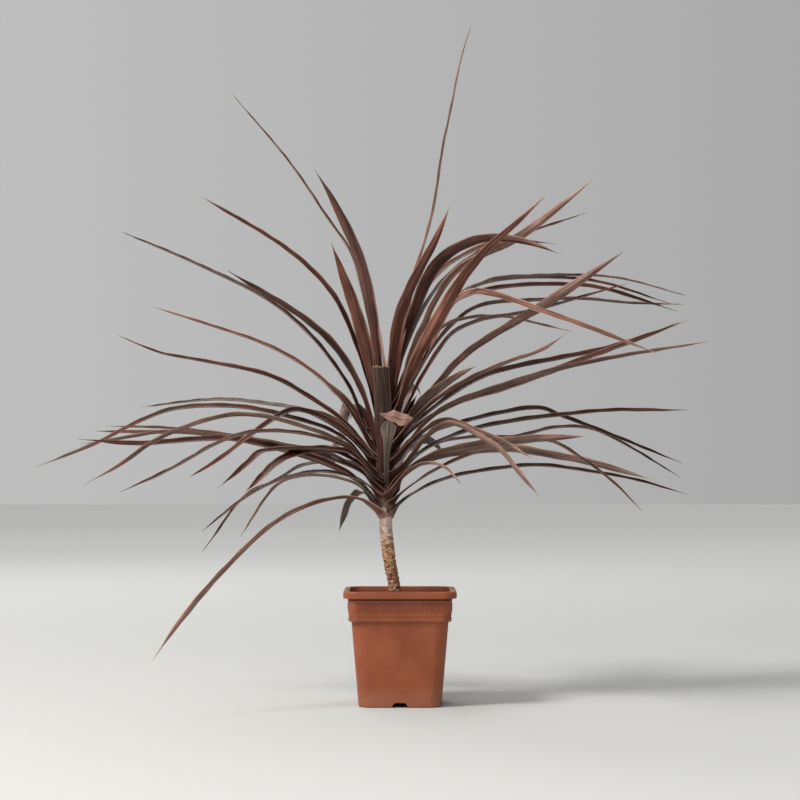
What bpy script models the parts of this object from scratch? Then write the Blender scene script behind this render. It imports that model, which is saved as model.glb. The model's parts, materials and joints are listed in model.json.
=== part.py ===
"""Potted cordyline: a young cabbage tree with a spray of long arching leaves, in a square terracotta-coloured
nursery pot with a Greek key band. Metres, +Z up. The pot stands on z = 0 and the front is towards -Y.

Each leaf is a thin folded blade of its own. Its course was read by eye from the front photograph, in the
photograph's pixels, and its depth is set here, so that the leaves stand all round the stem and none crosses
another."""

import math

import bmesh
import bpy
from mathutils import Matrix, Vector
from mathutils.bvhtree import BVHTree

MM = 0.001

# The front photograph's frame: pixels in the upright plane through the stem.
MM_PER_PIXEL = 1.2255
POT_MIDDLE_PX = 400.0
GROUND_PX = 702.6
EYE_HEIGHT = 290.0
EYE_DISTANCE = 2700.0

# Pot, millimetres.
POT_HEIGHT = 139.5
RIM_HALF = 68.3
FOOT_HALF = 50.0
BODY_TOP_HALF = 58.4
BODY_TOP = 101.0
COLLAR_LOW_HALF = 61.3
COLLAR_TOP_HALF = 62.8
COLLAR_LOW = 104.0
COLLAR_TOP = 137.0
INNER_STEP = 105.5
BEAD_HEIGHT = 4.2
BAND_LOW = 109.8
BAND_LOW_HALF = 61.8
SKIRT_LOW = 131.1
WALL = 1.9
FLOOR_TOP = 9.0
CHANNEL_LOW_WIDTH = 21.0
CHANNEL_TOP_WIDTH = 13.0
CHANNEL_HEIGHT = 6.0
DRAIN_RADIUS = 4.0
DRAIN_OFFSET = 27.0
CORNER_POINTS = 6

# Greek key band on the collar, millimetres.
KEY_UNITS = 8
KEY_PITCH = 13.0
KEY_HEIGHT = 11.0
KEY_MIDDLE = 120.0
KEY_LINE = 1.5
KEY_RELIEF = 0.6
KEY_ROOT = 1.0

# Soil and trunk, millimetres.
SOIL_EDGE = 119.0
SOIL_MIDDLE = 122.0
GAP = 0.3
FACET_ALLOWANCE = 0.15
STEM_FOOT = 62.0
STEM_SIDES = 14
STEM_STEP = 12.0
STEM_TIP_SHARE = 0.6
STEM_LEAN_BELOW = 0.4
SCAR_SPACING = 5.2
SCAR_DEPTH = 0.35
CROWN_BASE = 226.0
CROWN_TOP = 372.0
CROWN_TOP_RADIUS = 3.2

# Height in the photograph and the stem's middle and width there, in pixels.
STEM_READINGS = [
    (604, 396.0, 12.4), (590, 394.5, 12.0), (580, 393.4, 11.6), (570, 391.3, 11.9), (560, 389.5, 12.1),
    (550, 388.2, 12.4), (540, 387.0, 12.8), (530, 386.0, 13.0), (515, 385.6, 12.4),
]

# Blades, millimetres. The fold is the rise of an edge above the midrib as a share of half the width.
BLADE_THICKNESS = 0.95
EDGE_THICKNESS = 0.65
BASE_WIDTH = 8.0
TIP_WIDTH = 1.6
FOLD = 0.34
STATIONS = 12
STATION_CROWDING = 1.25

# Where a blade changes, as shares of its length from the stem.
FOLD_FULL = 0.15
TURN_FULL = 0.22
BASE_FACING_ENDS = 0.3
WIDTH_FULL = 0.38
SEEN_LOW_ENDS = 0.1
SEEN_MIDDLE_FROM = 0.45
TAPER_FROM = 0.5
TAPER_POWER = 1.6

# How a blade shows itself to the viewer: widths in pixels low in the crown, the largest share of the width
# that can show, and limits on twist, in radians.
SEEN_LOW = 3.2
SEEN_LOW_SHARE = 0.3
MOST_SHOWN = 0.97
MOST_TWIST = 0.4
WRONG_FACE_STRAIN = 0.6

# Placing, millimetres and degrees: the free space asked for round a blade, the seats' spread, and the changes
# that are tried, each with its cost.
CLEARANCE = 0.42
STEM_CLEARANCE = 0.2
SHARED_ROOT = 0.5
LAUNCH_RISE = 1.1
SEAT_BELOW_READING = 10.0
SEAT_RISE = 0.7
SEAT_MARGIN = 6.0
DEPTH_POWER = 1.4
BOW_SKEW = 0.7
DEPTH_CHANGES = range(-140, 141, 14)
BOWS = (0, 12, -12, 24, -24, 36, -36, 50, -50)
LIFTS = (0, 3, -3, 6, -6, 10)
TURNS = (0, 25, -25, 50, -50)
BOW_COST = 0.8
LIFT_COST = 1.5
TURN_COST = 0.4

# Each leaf: name, tone, width in mm, width seen at the middle and near the tip in pixels, depth of the tip in
# mm (away from the viewer is positive), and the course in pixels of the photograph, stem end first.
LEAVES = [
    ("middle_01", "dark", 21, 17, 17, -40, [(382, 470), (382, 420), (382, 400), (380, 366)]),
    ("middle_02", "mauve", 17, 9, 14, -150,
     [(386, 490), (385, 450), (386, 428), (392, 411), (402, 412), (411, 423)]),
    ("left_01", "dark", 9, 2, 1, 90,
     [(370, 330), (360, 285), (350, 252), (325, 215), (290, 163), (231, 92)]),
    ("left_02", "dark", 18, 12, 6, -45, [(374, 340), (368, 300), (355, 250), (330, 195), (314, 168)]),
    ("left_03", "orange", 18, 13, 7, -95, [(371, 380), (362, 338), (351, 300), (338, 262), (331, 242)]),
    ("left_04", "dark", 15, 5, 3, 150,
     [(378, 420), (370, 390), (355, 345), (335, 300), (310, 270), (280, 245), (198, 194)]),
    ("left_05", "dark", 15, 3, 2, 205,
     [(368, 428), (350, 390), (330, 360), (310, 336), (270, 302), (200, 266), (118, 230)]),
    ("left_06", "dark", 16, 7, 3, -130,
     [(376, 440), (364, 400), (350, 371), (330, 343), (300, 317), (227, 270)]),
    ("left_07", "orange", 14, 3, 2, 60,
     [(370, 447), (350, 412), (330, 388), (300, 364), (260, 343), (220, 329), (151, 306)]),
    ("left_08", "dark", 15, 4, 1, -70,
     [(378, 465), (360, 440), (342, 421), (310, 399), (270, 377), (200, 361), (160, 353), (117, 335)]),
    ("left_09", "dark", 14, 3, 2, 240,
     [(360, 448), (340, 431), (320, 419), (300, 410), (270, 405), (220, 400), (140, 407)]),
    ("left_10", "dark", 16, 4, 3, 25,
     [(370, 468), (350, 444), (330, 431), (300, 421), (240, 408), (174, 410), (140, 422), (100, 442),
      (36, 467)]),
    ("left_11", "pink", 16, 3, 5, -175,
     [(360, 456), (340, 442), (300, 427), (260, 417), (225, 417), (160, 439), (120, 465), (85, 484)]),
    ("left_12", "dark", 15, 2, 3, -235,
     [(370, 470), (350, 450), (320, 438), (280, 432), (245, 434), (215, 445), (174, 468), (120, 492)]),
    ("left_13", "dark", 16, 5, 3, -130,
     [(366, 452), (350, 436), (330, 422), (297, 411), (283, 415), (262, 428), (220, 459), (186, 479)]),
    ("left_14", "mauve", 14, 3, 2, 120,
     [(364, 472), (350, 464), (330, 455), (300, 449), (240, 438), (174, 429), (105, 426)]),
    ("left_15", "dark", 16, 5, 3, 175,
     [(366, 476), (340, 463), (300, 451), (240, 440), (200, 434), (160, 433), (92, 431)]),
    ("left_16", "dark", 17, 6, 4, -20,
     [(360, 482), (340, 469), (310, 457), (280, 449), (230, 440), (190, 441), (140, 444), (78, 439)]),
    ("left_17", "mauve", 15, 4, 3, 60,
     [(362, 486), (340, 472), (310, 460), (260, 446), (210, 436), (160, 433), (125, 438), (80, 444)]),
    ("left_18", "dark", 16, 3, 6, -215,
     [(368, 470), (350, 454), (330, 450), (290, 450), (260, 453), (247, 464), (218, 488)]),
    ("left_19", "dark", 17, 7, 5, -270,
     [(365, 470), (350, 459), (335, 452), (306, 452), (278, 463), (265, 474), (244, 493)]),
    ("left_20", "dark", 13, 2, 2, 130,
     [(370, 475), (350, 463), (330, 462), (300, 467), (275, 482), (250, 493), (236, 506), (218, 531),
      (203, 551)]),
    ("left_21", "dark", 13, 2, 2, -115,
     [(370, 487), (350, 477), (320, 472), (300, 475), (280, 480), (250, 495), (202, 531)]),
    ("left_22", "pink", 12, 2, 2, 215,
     [(360, 487), (340, 479), (320, 476), (300, 477), (278, 485), (240, 537)]),
    ("left_23", "mauve", 15, 4, 6, -165,
     [(376, 512), (364, 501), (350, 498), (330, 500), (300, 510), (270, 528), (225, 571), (180, 622),
      (153, 660)]),
    ("left_24", "grey", 14, 7, 5, 110, [(364, 492), (352, 500), (345, 514), (339, 531)]),
    ("left_25", "grey", 15, 10, 6, 180,
     [(368, 430), (352, 404), (343, 415), (342, 430), (336, 444), (321, 467)]),
    ("left_26", "pink", 12, 4, 3, -75, [(365, 447), (350, 431), (335, 420), (322, 413), (310, 409)]),
    ("right_01", "dark", 18, 11, 5, -65,
     [(391, 400), (394, 360), (400, 320), (411, 290), (425, 261), (437, 237), (451, 203)]),
    ("right_02", "dark", 9, 2, 1, 60,
     [(398, 340), (406, 295), (420, 258), (434, 208), (443, 149), (452, 105), (462, 55), (471, 24)]),
    ("right_03", "dark", 18, 12, 4, -150,
     [(404, 350), (420, 300), (429, 278), (444, 258), (472, 242), (495, 238), (525, 241), (562, 254)]),
    ("right_04", "mauve", 15, 5, 4, 150,
     [(402, 345), (420, 300), (440, 273), (460, 258), (500, 241), (556, 243)]),
    ("right_13", "orange", 15, 5, 4, -225,
     [(418, 372), (440, 330), (455, 303), (473, 293), (500, 297), (540, 311), (590, 328), (660, 354)]),
    ("right_05", "dark", 13, 3, 2, 225, [(406, 350), (440, 285), (490, 246), (520, 235), (587, 212)]),
    ("right_06", "pink", 18, 6, 12, -30,
     [(400, 400), (412, 355), (428, 320), (436, 303), (456, 274), (485, 255), (515, 240), (550, 214),
      (598, 175)]),
    ("right_07", "dark", 17, 12, 2, -110,
     [(402, 400), (412, 370), (430, 335), (450, 300), (469, 271), (490, 247), (510, 229), (549, 192)]),
    ("right_08", "mauve", 19, 7, 13, -185,
     [(405, 432), (420, 408), (440, 384), (460, 362), (480, 346), (540, 309), (570, 288), (629, 248)]),
    ("right_10", "dark", 14, 3, 2, 110,
     [(416, 372), (440, 325), (460, 296), (480, 285), (510, 279), (560, 278), (600, 282), (673, 304)]),
    ("right_09", "pink", 12, 1, 1, 205,
     [(416, 360), (440, 318), (460, 296), (490, 280), (530, 276), (577, 275), (620, 278), (686, 295)]),
    ("right_11", "dark", 15, 4, 3, 40,
     [(414, 378), (432, 340), (452, 305), (470, 295), (510, 287), (560, 285), (600, 288), (678, 311)]),
    ("right_12", "mauve", 14, 3, 2, 265,
     [(410, 388), (432, 350), (448, 330), (470, 311), (490, 304), (530, 301), (580, 299), (630, 303),
      (685, 304)]),
    ("right_14", "dark", 15, 3, 2, 20,
     [(405, 412), (420, 382), (440, 350), (453, 334), (480, 321), (530, 312), (628, 283)]),
    ("right_16", "pink", 14, 4, 3, -140,
     [(406, 430), (420, 415), (440, 398), (470, 380), (510, 362), (540, 351), (567, 333)]),
    ("right_15", "pink", 13, 2, 2, 150,
     [(414, 380), (440, 330), (465, 319), (505, 317), (535, 323), (571, 331)]),
    ("right_17", "mauve", 15, 8, 4, -240, [(408, 420), (425, 400), (445, 385), (473, 366)]),
    ("right_18", "dark", 16, 5, 4, 95,
     [(410, 430), (450, 397), (485, 377), (520, 367), (560, 359), (610, 348), (650, 334), (679, 322)]),
    ("right_19", "dark", 16, 6, 4, -40,
     [(404, 440), (420, 425), (460, 403), (500, 391), (540, 377), (600, 354), (688, 320)]),
    ("right_20", "mauve", 15, 5, 2, -100,
     [(406, 446), (430, 420), (450, 406), (500, 388), (560, 370), (620, 357), (711, 341)]),
    ("right_21", "dark", 14, 4, 2, 165,
     [(400, 455), (430, 434), (463, 423), (500, 414), (540, 409), (562, 417), (600, 431), (682, 463)]),
    ("right_22", "dark", 15, 4, 3, 30,
     [(400, 468), (430, 447), (470, 431), (520, 421), (560, 416), (610, 411), (689, 410)]),
    ("right_23", "mauve", 18, 10, 5, -195,
     [(400, 478), (430, 459), (460, 451), (500, 444), (540, 439), (588, 436)]),
    ("right_24", "dark", 13, 2, 2, 235,
     [(404, 470), (420, 454), (440, 443), (470, 438), (517, 437), (555, 428), (590, 429), (620, 442),
      (680, 477)]),
    ("right_25", "mauve", 14, 4, 3, -265,
     [(410, 445), (430, 428), (447, 421), (475, 431), (505, 443), (533, 459)]),
    ("right_26", "mauve", 17, 8, 5, -120,
     [(402, 478), (430, 461), (470, 453), (510, 450), (550, 456), (590, 463), (655, 480)]),
    ("right_27", "mauve", 15, 5, 4, -300,
     [(408, 462), (425, 440), (450, 425), (480, 438), (500, 451), (513, 466), (539, 496)]),
    ("right_28", "mauve", 9, 3, 2, -200, [(406, 474), (427, 464), (445, 468), (461, 484)]),
    ("right_29", "dark", 13, 3, 2, 70,
     [(400, 504), (420, 490), (450, 478), (500, 469), (540, 466), (590, 472), (640, 481), (686, 494)]),
    ("right_30", "dark", 13, 2, 2, -170,
     [(400, 495), (440, 468), (500, 446), (548, 441), (580, 458), (615, 484), (642, 511)]),
    ("back_01", "dark", 16, 12, 6, 320, [(390, 440), (393, 385), (396, 340), (400, 322), (402, 330)]),
    ("back_02", "dark", 16, 12, 6, 330, [(384, 440), (379, 392), (372, 362), (366, 354), (362, 364)]),
    ("back_03", "mauve", 16, 12, 6, 340, [(394, 450), (401, 414), (408, 392), (415, 386), (421, 396)]),
    ("back_04", "dark", 16, 12, 6, 335, [(382, 470), (374, 434), (365, 414), (356, 410), (349, 420)]),
    ("back_05", "mauve", 16, 12, 6, 325, [(394, 478), (405, 452), (418, 441), (432, 442), (444, 454)]),
    ("back_06", "dark", 16, 12, 6, 345, [(388, 482), (389, 452), (391, 436), (393, 436), (394, 448)]),
    ("middle_03", "pink", 11, 2, 1, 70, [(386, 440), (384, 366), (380, 338), (374, 300)]),
]

# Leaves that grow from the same clasping base as another, and leaves pressed together with another low in the
# crown. Each is one solid with the leaf that it names.
SAME_BASE = {"left_05": "left_04", "left_15": "left_14", "left_17": "left_16", "right_26": "right_23"}
PRESSED = {"right_10": "right_06", "right_09": "right_01", "right_11": "right_13", "right_15": "right_12"}

# Leaves that were cut across, so that they end broad, and the tones of leaves seen from their underside.
BLUNT = {"middle_01", "middle_02"}
UNDERSIDE_SEEN = {"mauve", "pink", "grey"}

COLOURS = {
    "terracotta": (0.26, 0.082, 0.043), "soil": (0.035, 0.022, 0.014), "bark": (0.30, 0.19, 0.12),
    "dark": (0.045, 0.028, 0.022), "mauve": (0.17, 0.12, 0.10), "pink": (0.27, 0.16, 0.125),
    "grey": (0.19, 0.16, 0.12), "orange": (0.19, 0.085, 0.045),
}
ROUGHNESS = {"terracotta": 0.45, "soil": 0.95, "bark": 0.85}
LEAF_ROUGHNESS = 0.42


def clear_scene():
    """Removes whatever the file opened with."""
    for obj in list(bpy.data.objects):
        bpy.data.objects.remove(obj, do_unlink=True)


def material(name):
    """One Principled material for each colour."""
    found = bpy.data.materials.get(name)
    if found:
        return found
    made = bpy.data.materials.new(name)
    made.use_nodes = True
    shader = made.node_tree.nodes["Principled BSDF"]
    shader.inputs["Base Color"].default_value = (*COLOURS[name], 1.0)
    shader.inputs["Roughness"].default_value = ROUGHNESS.get(name, LEAF_ROUGHNESS)
    shader.inputs["Metallic"].default_value = 0.0
    made.diffuse_color = (*COLOURS[name], 1.0)
    return made


def add_object(name, vertices, faces, finish, parent):
    """Makes a closed mesh, in metres, from vertices in millimetres."""
    mesh = bpy.data.meshes.new(name)
    mesh.from_pydata([Vector(v) * MM for v in vertices], [], faces)
    shape = bmesh.new()
    shape.from_mesh(mesh)
    bmesh.ops.recalc_face_normals(shape, faces=shape.faces)
    shape.to_mesh(mesh)
    shape.free()
    mesh.materials.append(material(finish))
    obj = bpy.data.objects.new(name, mesh)
    bpy.context.scene.collection.objects.link(obj)
    obj.parent = parent
    return obj


def apply_boolean(target, operation, solver, tool=None, tools=None):
    """Runs one Boolean on an object, applies it and removes what it used."""
    step = target.modifiers.new(operation.lower(), "BOOLEAN")
    step.operation = operation
    step.solver = solver
    if tools is None:
        step.object = tool
        used = [tool]
    else:
        step.operand_type = "COLLECTION"
        step.collection = tools
        used = list(tools.objects)
    bpy.context.view_layer.update()
    graph = bpy.context.evaluated_depsgraph_get()
    mesh = bpy.data.meshes.new_from_object(target.evaluated_get(graph))
    target.modifiers.clear()
    target.data = mesh
    for obj in used:
        bpy.data.objects.remove(obj, do_unlink=True)
    if tools is not None:
        bpy.data.collections.remove(tools)


def group(objects, name):
    """Moves objects into a new collection, for a Boolean that takes them all."""
    made = bpy.data.collections.new(name)
    bpy.context.scene.collection.children.link(made)
    for obj in objects:
        for holder in list(obj.users_collection):
            holder.objects.unlink(obj)
        made.objects.link(obj)
    return made


def rounded_square(half, radius, z, middle=(0.0, 0.0)):
    """Points round a square with round corners, anticlockwise from above; a radius of half gives a circle."""
    points = []
    inner = half - radius
    for corner in range(4):
        start = corner * math.pi / 2
        cx = inner * (1 if corner in (0, 3) else -1)
        cy = inner * (1 if corner in (0, 1) else -1)
        for k in range(CORNER_POINTS):
            a = start + k / (CORNER_POINTS - 1) * math.pi / 2
            points.append((middle[0] + cx + radius * math.cos(a), middle[1] + cy + radius * math.sin(a), z))
    return points


def loft(rings):
    """Joins rings of equal count into one closed solid, with a flat cap on the first and the last."""
    count = len(rings[0])
    vertices = [p for ring in rings for p in ring]
    faces = [list(range(count)), list(range(len(vertices) - count, len(vertices)))]
    for level in range(len(rings) - 1):
        low, high = level * count, (level + 1) * count
        for k in range(count):
            n = (k + 1) % count
            faces.append([low + k, low + n, high + n, high + k])
    return vertices, faces


def pot_inner_half(z):
    """Half the pot's inner width at a height."""
    if z < BODY_TOP:
        return FOOT_HALF - WALL + (BODY_TOP_HALF - FOOT_HALF) * z / BODY_TOP
    if z < INNER_STEP:
        along = (z - BODY_TOP) / (INNER_STEP - BODY_TOP)
        return BODY_TOP_HALF - WALL + along * (COLLAR_LOW_HALF - BODY_TOP_HALF)
    along = (z - INNER_STEP) / (COLLAR_TOP - INNER_STEP)
    return COLLAR_LOW_HALF - WALL + along * (COLLAR_TOP_HALF - COLLAR_LOW_HALF)


def pot_rings():
    """The pot's section, from the underside up the outside, over the rim and down the inside."""
    bead_top = COLLAR_LOW + BEAD_HEIGHT
    outer = [
        (FOOT_HALF - 1.6, 15.0, 0.0), (FOOT_HALF, 16.5, 2.0), (BODY_TOP_HALF, 18.0, BODY_TOP),
        (BODY_TOP_HALF + 0.2, 18.0, COLLAR_LOW - 1.4), (COLLAR_LOW_HALF, 14.0, COLLAR_LOW - 0.4),
        (COLLAR_LOW_HALF + 0.7, 13.5, COLLAR_LOW + 0.8), (COLLAR_LOW_HALF + 0.8, 13.5, bead_top - 0.8),
        (COLLAR_LOW_HALF - 0.1, 12.5, bead_top), (COLLAR_LOW_HALF + 0.1, 12.5, BAND_LOW - 0.4),
        (BAND_LOW_HALF, 12.5, BAND_LOW), (COLLAR_TOP_HALF, 12.5, COLLAR_TOP),
        (RIM_HALF - 1.8, 18.0, COLLAR_TOP), (RIM_HALF - 1.7, 18.0, SKIRT_LOW + 0.3),
        (RIM_HALF - 0.4, 19.0, SKIRT_LOW), (RIM_HALF, 19.5, SKIRT_LOW + 0.8),
        (RIM_HALF, 19.5, POT_HEIGHT - 1.1), (RIM_HALF - 0.9, 19.0, POT_HEIGHT),
    ]
    inner = [
        (COLLAR_TOP_HALF - 0.3, 14.0, POT_HEIGHT), (pot_inner_half(COLLAR_TOP), 13.2, POT_HEIGHT - 1.4),
        (pot_inner_half(INNER_STEP), 13.2, INNER_STEP), (pot_inner_half(BODY_TOP), 16.2, BODY_TOP),
        (pot_inner_half(FLOOR_TOP), 14.8, FLOOR_TOP),
    ]
    return [rounded_square(*row) for row in outer + inner]


def key_stroke():
    """Outline of one unit of the key: a squared hook drawn with a line of even width, left to right."""
    across, up = KEY_PITCH, KEY_HEIGHT
    course = [
        (0.56, 0.62), (0.30, 0.62), (0.30, 0.30), (0.80, 0.30),
        (0.80, 1.0), (0.0, 1.0), (0.0, 0.0), (0.80, 0.0),
    ]
    line = [Vector(((u - 0.4) * across, (v - 0.5) * (up - KEY_LINE))) for u, v in course]
    left, right = [], []
    for k, point in enumerate(line):
        before = (point - line[k - 1]).normalized() if k else None
        after = (line[k + 1] - point).normalized() if k < len(line) - 1 else None
        first, second = before or after, after or before
        normal = (Vector((-first.y, first.x)) + Vector((-second.y, second.x))) / 2
        offset = normal / normal.length_squared * KEY_LINE / 2
        left.append(point + offset)
        right.append(point - offset)
    return left + right[::-1]


def key_units(parent):
    """Raised key units round the four sides of the collar, each sunk into the wall behind it."""
    outline = key_stroke()
    count = len(outline)
    slope = math.atan2(COLLAR_TOP_HALF - COLLAR_LOW_HALF, COLLAR_TOP - COLLAR_LOW)
    along = (KEY_MIDDLE - BAND_LOW) / (COLLAR_TOP - BAND_LOW)
    face = BAND_LOW_HALF + along * (COLLAR_TOP_HALF - BAND_LOW_HALF)
    made = []
    for side in range(4):
        turn = Matrix.Rotation(side * math.pi / 2, 4, "Z")
        for unit in range(KEY_UNITS):
            across = (unit - (KEY_UNITS - 1) / 2) * KEY_PITCH
            lean = Matrix.Translation((across, -face, KEY_MIDDLE)) @ Matrix.Rotation(slope, 4, "X")
            vertices = []
            for depth in (-KEY_RELIEF, KEY_ROOT):
                vertices += [tuple(turn @ lean @ Vector((p.x, depth, p.y))) for p in outline]
            faces = [list(range(count)), list(range(2 * count - 1, count - 1, -1))]
            faces += [[k, count + k, count + (k + 1) % count, (k + 1) % count] for k in range(count)]
            made.append(add_object(f"key_{side}_{unit}", vertices, faces, "terracotta", parent))
    return group(made, "key band")


def channel_cutter(turned, parent):
    """A long prism with a trapezium section, which cuts the channel between the feet."""
    low, top, reach = CHANNEL_LOW_WIDTH / 2, CHANNEL_TOP_WIDTH / 2, FOOT_HALF + 20.0
    under = 1.0
    widen = (low - top) / CHANNEL_HEIGHT * under
    section = [(-low - widen, -under), (low + widen, -under), (top, CHANNEL_HEIGHT), (-top, CHANNEL_HEIGHT)]
    ends = [[((x, end, z) if not turned else (end, x, z)) for x, z in section] for end in (-reach, reach)]
    vertices, faces = loft(ends)
    return add_object("channel", vertices, faces, "terracotta", parent)


def drain_cutter(x, y, parent):
    """A short upright cylinder through the floor."""
    rings = [rounded_square(DRAIN_RADIUS, DRAIN_RADIUS - 0.001, z, (x, y)) for z in (2.0, FLOOR_TOP + 2.0)]
    vertices, faces = loft(rings)
    return add_object("drain", vertices, faces, "terracotta", parent)


def build_pot(parent):
    """The square pot with its feet, drain holes and key band."""
    vertices, faces = loft(pot_rings())
    pot = add_object("pot", vertices, faces, "terracotta", parent)
    for turned in (False, True):
        apply_boolean(pot, "DIFFERENCE", "EXACT", tool=channel_cutter(turned, parent))
    for x, y in ((DRAIN_OFFSET, 0), (-DRAIN_OFFSET, 0), (0, DRAIN_OFFSET), (0, -DRAIN_OFFSET)):
        apply_boolean(pot, "DIFFERENCE", "EXACT", tool=drain_cutter(x, y, parent))
    apply_boolean(pot, "UNION", "MANIFOLD", tools=key_units(parent))
    return pot


def plane_point(pixel):
    """A reading of the photograph as millimetres across and up in the stem's plane."""
    return Vector(((pixel[0] - POT_MIDDLE_PX) * MM_PER_PIXEL, (GROUND_PX - pixel[1]) * MM_PER_PIXEL))


def stem_at(z):
    """The stem's middle across and its radius at a height; it is straight in depth."""
    rows = [(plane_point((x, y)), w * MM_PER_PIXEL / 2) for y, x, w in STEM_READINGS]
    if z <= rows[0][0].y:
        step = rows[1][0] - rows[0][0]
        return rows[0][0].x + (z - rows[0][0].y) * step.x / step.y * STEM_LEAN_BELOW, rows[0][1]
    for (a, ra), (b, rb) in zip(rows, rows[1:]):
        if z <= b.y:
            along = (z - a.y) / (b.y - a.y)
            return a.x + (b.x - a.x) * along, ra + (rb - ra) * along
    along = min((z - rows[-1][0].y) / (CROWN_TOP - rows[-1][0].y), 1.0)
    return rows[-1][0].x, rows[-1][1] + (CROWN_TOP_RADIUS - rows[-1][1]) * along


def stem_shape():
    """The bare trunk with its leaf scars, and the slender core that the crown grows from."""
    rings = []
    z = STEM_FOOT
    while z < CROWN_TOP:
        x, radius = stem_at(z)
        scarred = SOIL_MIDDLE + 4 < z < CROWN_BASE
        scar = SCAR_DEPTH * math.cos(2 * math.pi * (z - SOIL_MIDDLE) / SCAR_SPACING) if scarred else 0.0
        rings.append([
            (x + (radius + scar) * math.cos(a), (radius + scar) * math.sin(a), z)
            for a in (2 * math.pi * k / STEM_SIDES for k in range(STEM_SIDES))
        ])
        z += SCAR_SPACING / 2 if scarred else STEM_STEP
    x, radius = stem_at(CROWN_TOP)
    radius *= STEM_TIP_SHARE
    rings.append([
        (x + radius * math.cos(a), radius * math.sin(a), CROWN_TOP + 2.0)
        for a in (2 * math.pi * k / STEM_SIDES for k in range(STEM_SIDES))
    ])
    return loft(rings)


def build_soil(parent):
    """Potting soil that fills the pot, with a low lumpy top and a plain hole for the trunk."""
    def lump(x, y):
        return 0.8 * math.sin(x * 0.21 + 1.0) * math.cos(y * 0.17) + 0.5 * math.sin(y * 0.33 + x * 0.12)

    rings = []
    sides = ((FLOOR_TOP + GAP + 0.05, 14.8), (BODY_TOP, 16.0), (COLLAR_LOW + 1.8, 13.2), (SOIL_EDGE, 13.2))
    for z, radius in sides:
        rings.append(rounded_square(pot_inner_half(z) - GAP - 0.1, radius, z))
    top = ((50.0, 20.0, SOIL_EDGE + 1.0), (36.0, 24.0, SOIL_MIDDLE - 1.0), (22.0, 18.0, SOIL_MIDDLE))
    for half, radius, z in top:
        middle = (stem_at(z)[0] * (1 - half / pot_inner_half(SOIL_EDGE)), 0.0)
        rings.append([(x, y, h + lump(x, y)) for x, y, h in rounded_square(half, radius, z, middle)])
    for z in (SOIL_MIDDLE, (SOIL_MIDDLE + STEM_FOOT) / 2, STEM_FOOT - GAP):
        x, hole = stem_at(z)
        hole += GAP + FACET_ALLOWANCE
        rings.append([
            (x + hole * math.cos(a), hole * math.sin(a), z)
            for a in (2 * math.pi * k / (4 * CORNER_POINTS) for k in range(4 * CORNER_POINTS))
        ])
    vertices, faces = loft(rings)
    return add_object("potting_soil", vertices, faces, "soil", parent)


def smooth_course(points, spans=8):
    """A Catmull-Rom course through the points, sampled finely, spaced by the chords between them."""
    ends = [points[0] * 2 - points[1]] + points + [points[-1] * 2 - points[-2]]
    knots = [0.0]
    for a, b in zip(ends, ends[1:]):
        knots.append(knots[-1] + max((b - a).length, 1e-6) ** 0.5)
    fine = []
    for k in range(1, len(ends) - 2):
        p0, p1, p2, p3 = ends[k - 1:k + 3]
        t0, t1, t2, t3 = knots[k - 1:k + 3]
        for step in range(spans):
            t = t1 + (t2 - t1) * step / spans
            a1 = p0 * ((t1 - t) / (t1 - t0)) + p1 * ((t - t0) / (t1 - t0))
            a2 = p1 * ((t2 - t) / (t2 - t1)) + p2 * ((t - t1) / (t2 - t1))
            a3 = p2 * ((t3 - t) / (t3 - t2)) + p3 * ((t - t2) / (t3 - t2))
            b1 = a1 * ((t2 - t) / (t2 - t0)) + a2 * ((t - t0) / (t2 - t0))
            b2 = a2 * ((t3 - t) / (t3 - t1)) + a3 * ((t - t1) / (t3 - t1))
            fine.append(b1 * ((t2 - t) / (t2 - t1)) + b2 * ((t - t1) / (t2 - t1)))
    return fine + [points[-1].copy()]


def at_fractions(course, fractions):
    """Points at fractions of a course's length."""
    reach = [0.0]
    for a, b in zip(course, course[1:]):
        reach.append(reach[-1] + (b - a).length)
    found, k = [], 0
    for fraction in fractions:
        target = fraction * reach[-1]
        while k < len(course) - 2 and reach[k + 1] < target:
            k += 1
        span = max(reach[k + 1] - reach[k], 1e-9)
        found.append(course[k].lerp(course[k + 1], (target - reach[k]) / span))
    return found


def leaf_bearing(row, depth):
    """The direction in plan from the stem to the leaf's tip."""
    return math.atan2(depth, plane_point(row[6][-1]).x - stem_at(CROWN_BASE)[0])


def leaf_course(row, depth, bow, root_height, root_bearing):
    """The leaf's midrib in three dimensions: from its seat on the stem, and along its reading at its depth. A
    bow pushes its middle away from the viewer or towards them."""
    readings = [plane_point(p) for p in row[6]]
    axis = stem_at(root_height)
    reach = readings[-1].x - axis[0]
    seat = axis[1] + GAP + BLADE_THICKNESS / 2 + FACET_ALLOWANCE
    root = Vector((axis[0] + seat * math.cos(root_bearing), seat * math.sin(root_bearing), root_height))
    flat = [Vector((root.x, root.z))] + readings
    lengths = [0.0]
    for a, b in zip(flat, flat[1:]):
        lengths.append(lengths[-1] + (b - a).length)
    plan_share = abs(reach) / (abs(reach) + abs(depth))
    points = [root]
    for point, length in zip(readings, lengths[1:]):
        along = length / lengths[-1]
        spread = min(max((point.x - axis[0]) / reach, 0.0), 1.1) if abs(reach) > 1 else along
        outward = plan_share * spread + (1 - plan_share) * along ** DEPTH_POWER
        y = root.y * (1 - along) ** 2 + depth * outward + bow * math.sin(math.pi * along ** BOW_SKEW)
        scale = (EYE_DISTANCE + y) / EYE_DISTANCE
        points.append(Vector((point.x * scale, y, EYE_HEIGHT + (point.y - EYE_HEIGHT) * scale)))
    return smooth_course(points)


def smooth_step(share):
    """A smooth rise from 0 to 1."""
    share = min(max(share, 0.0), 1.0)
    return share * share * (3 - 2 * share)


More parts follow.
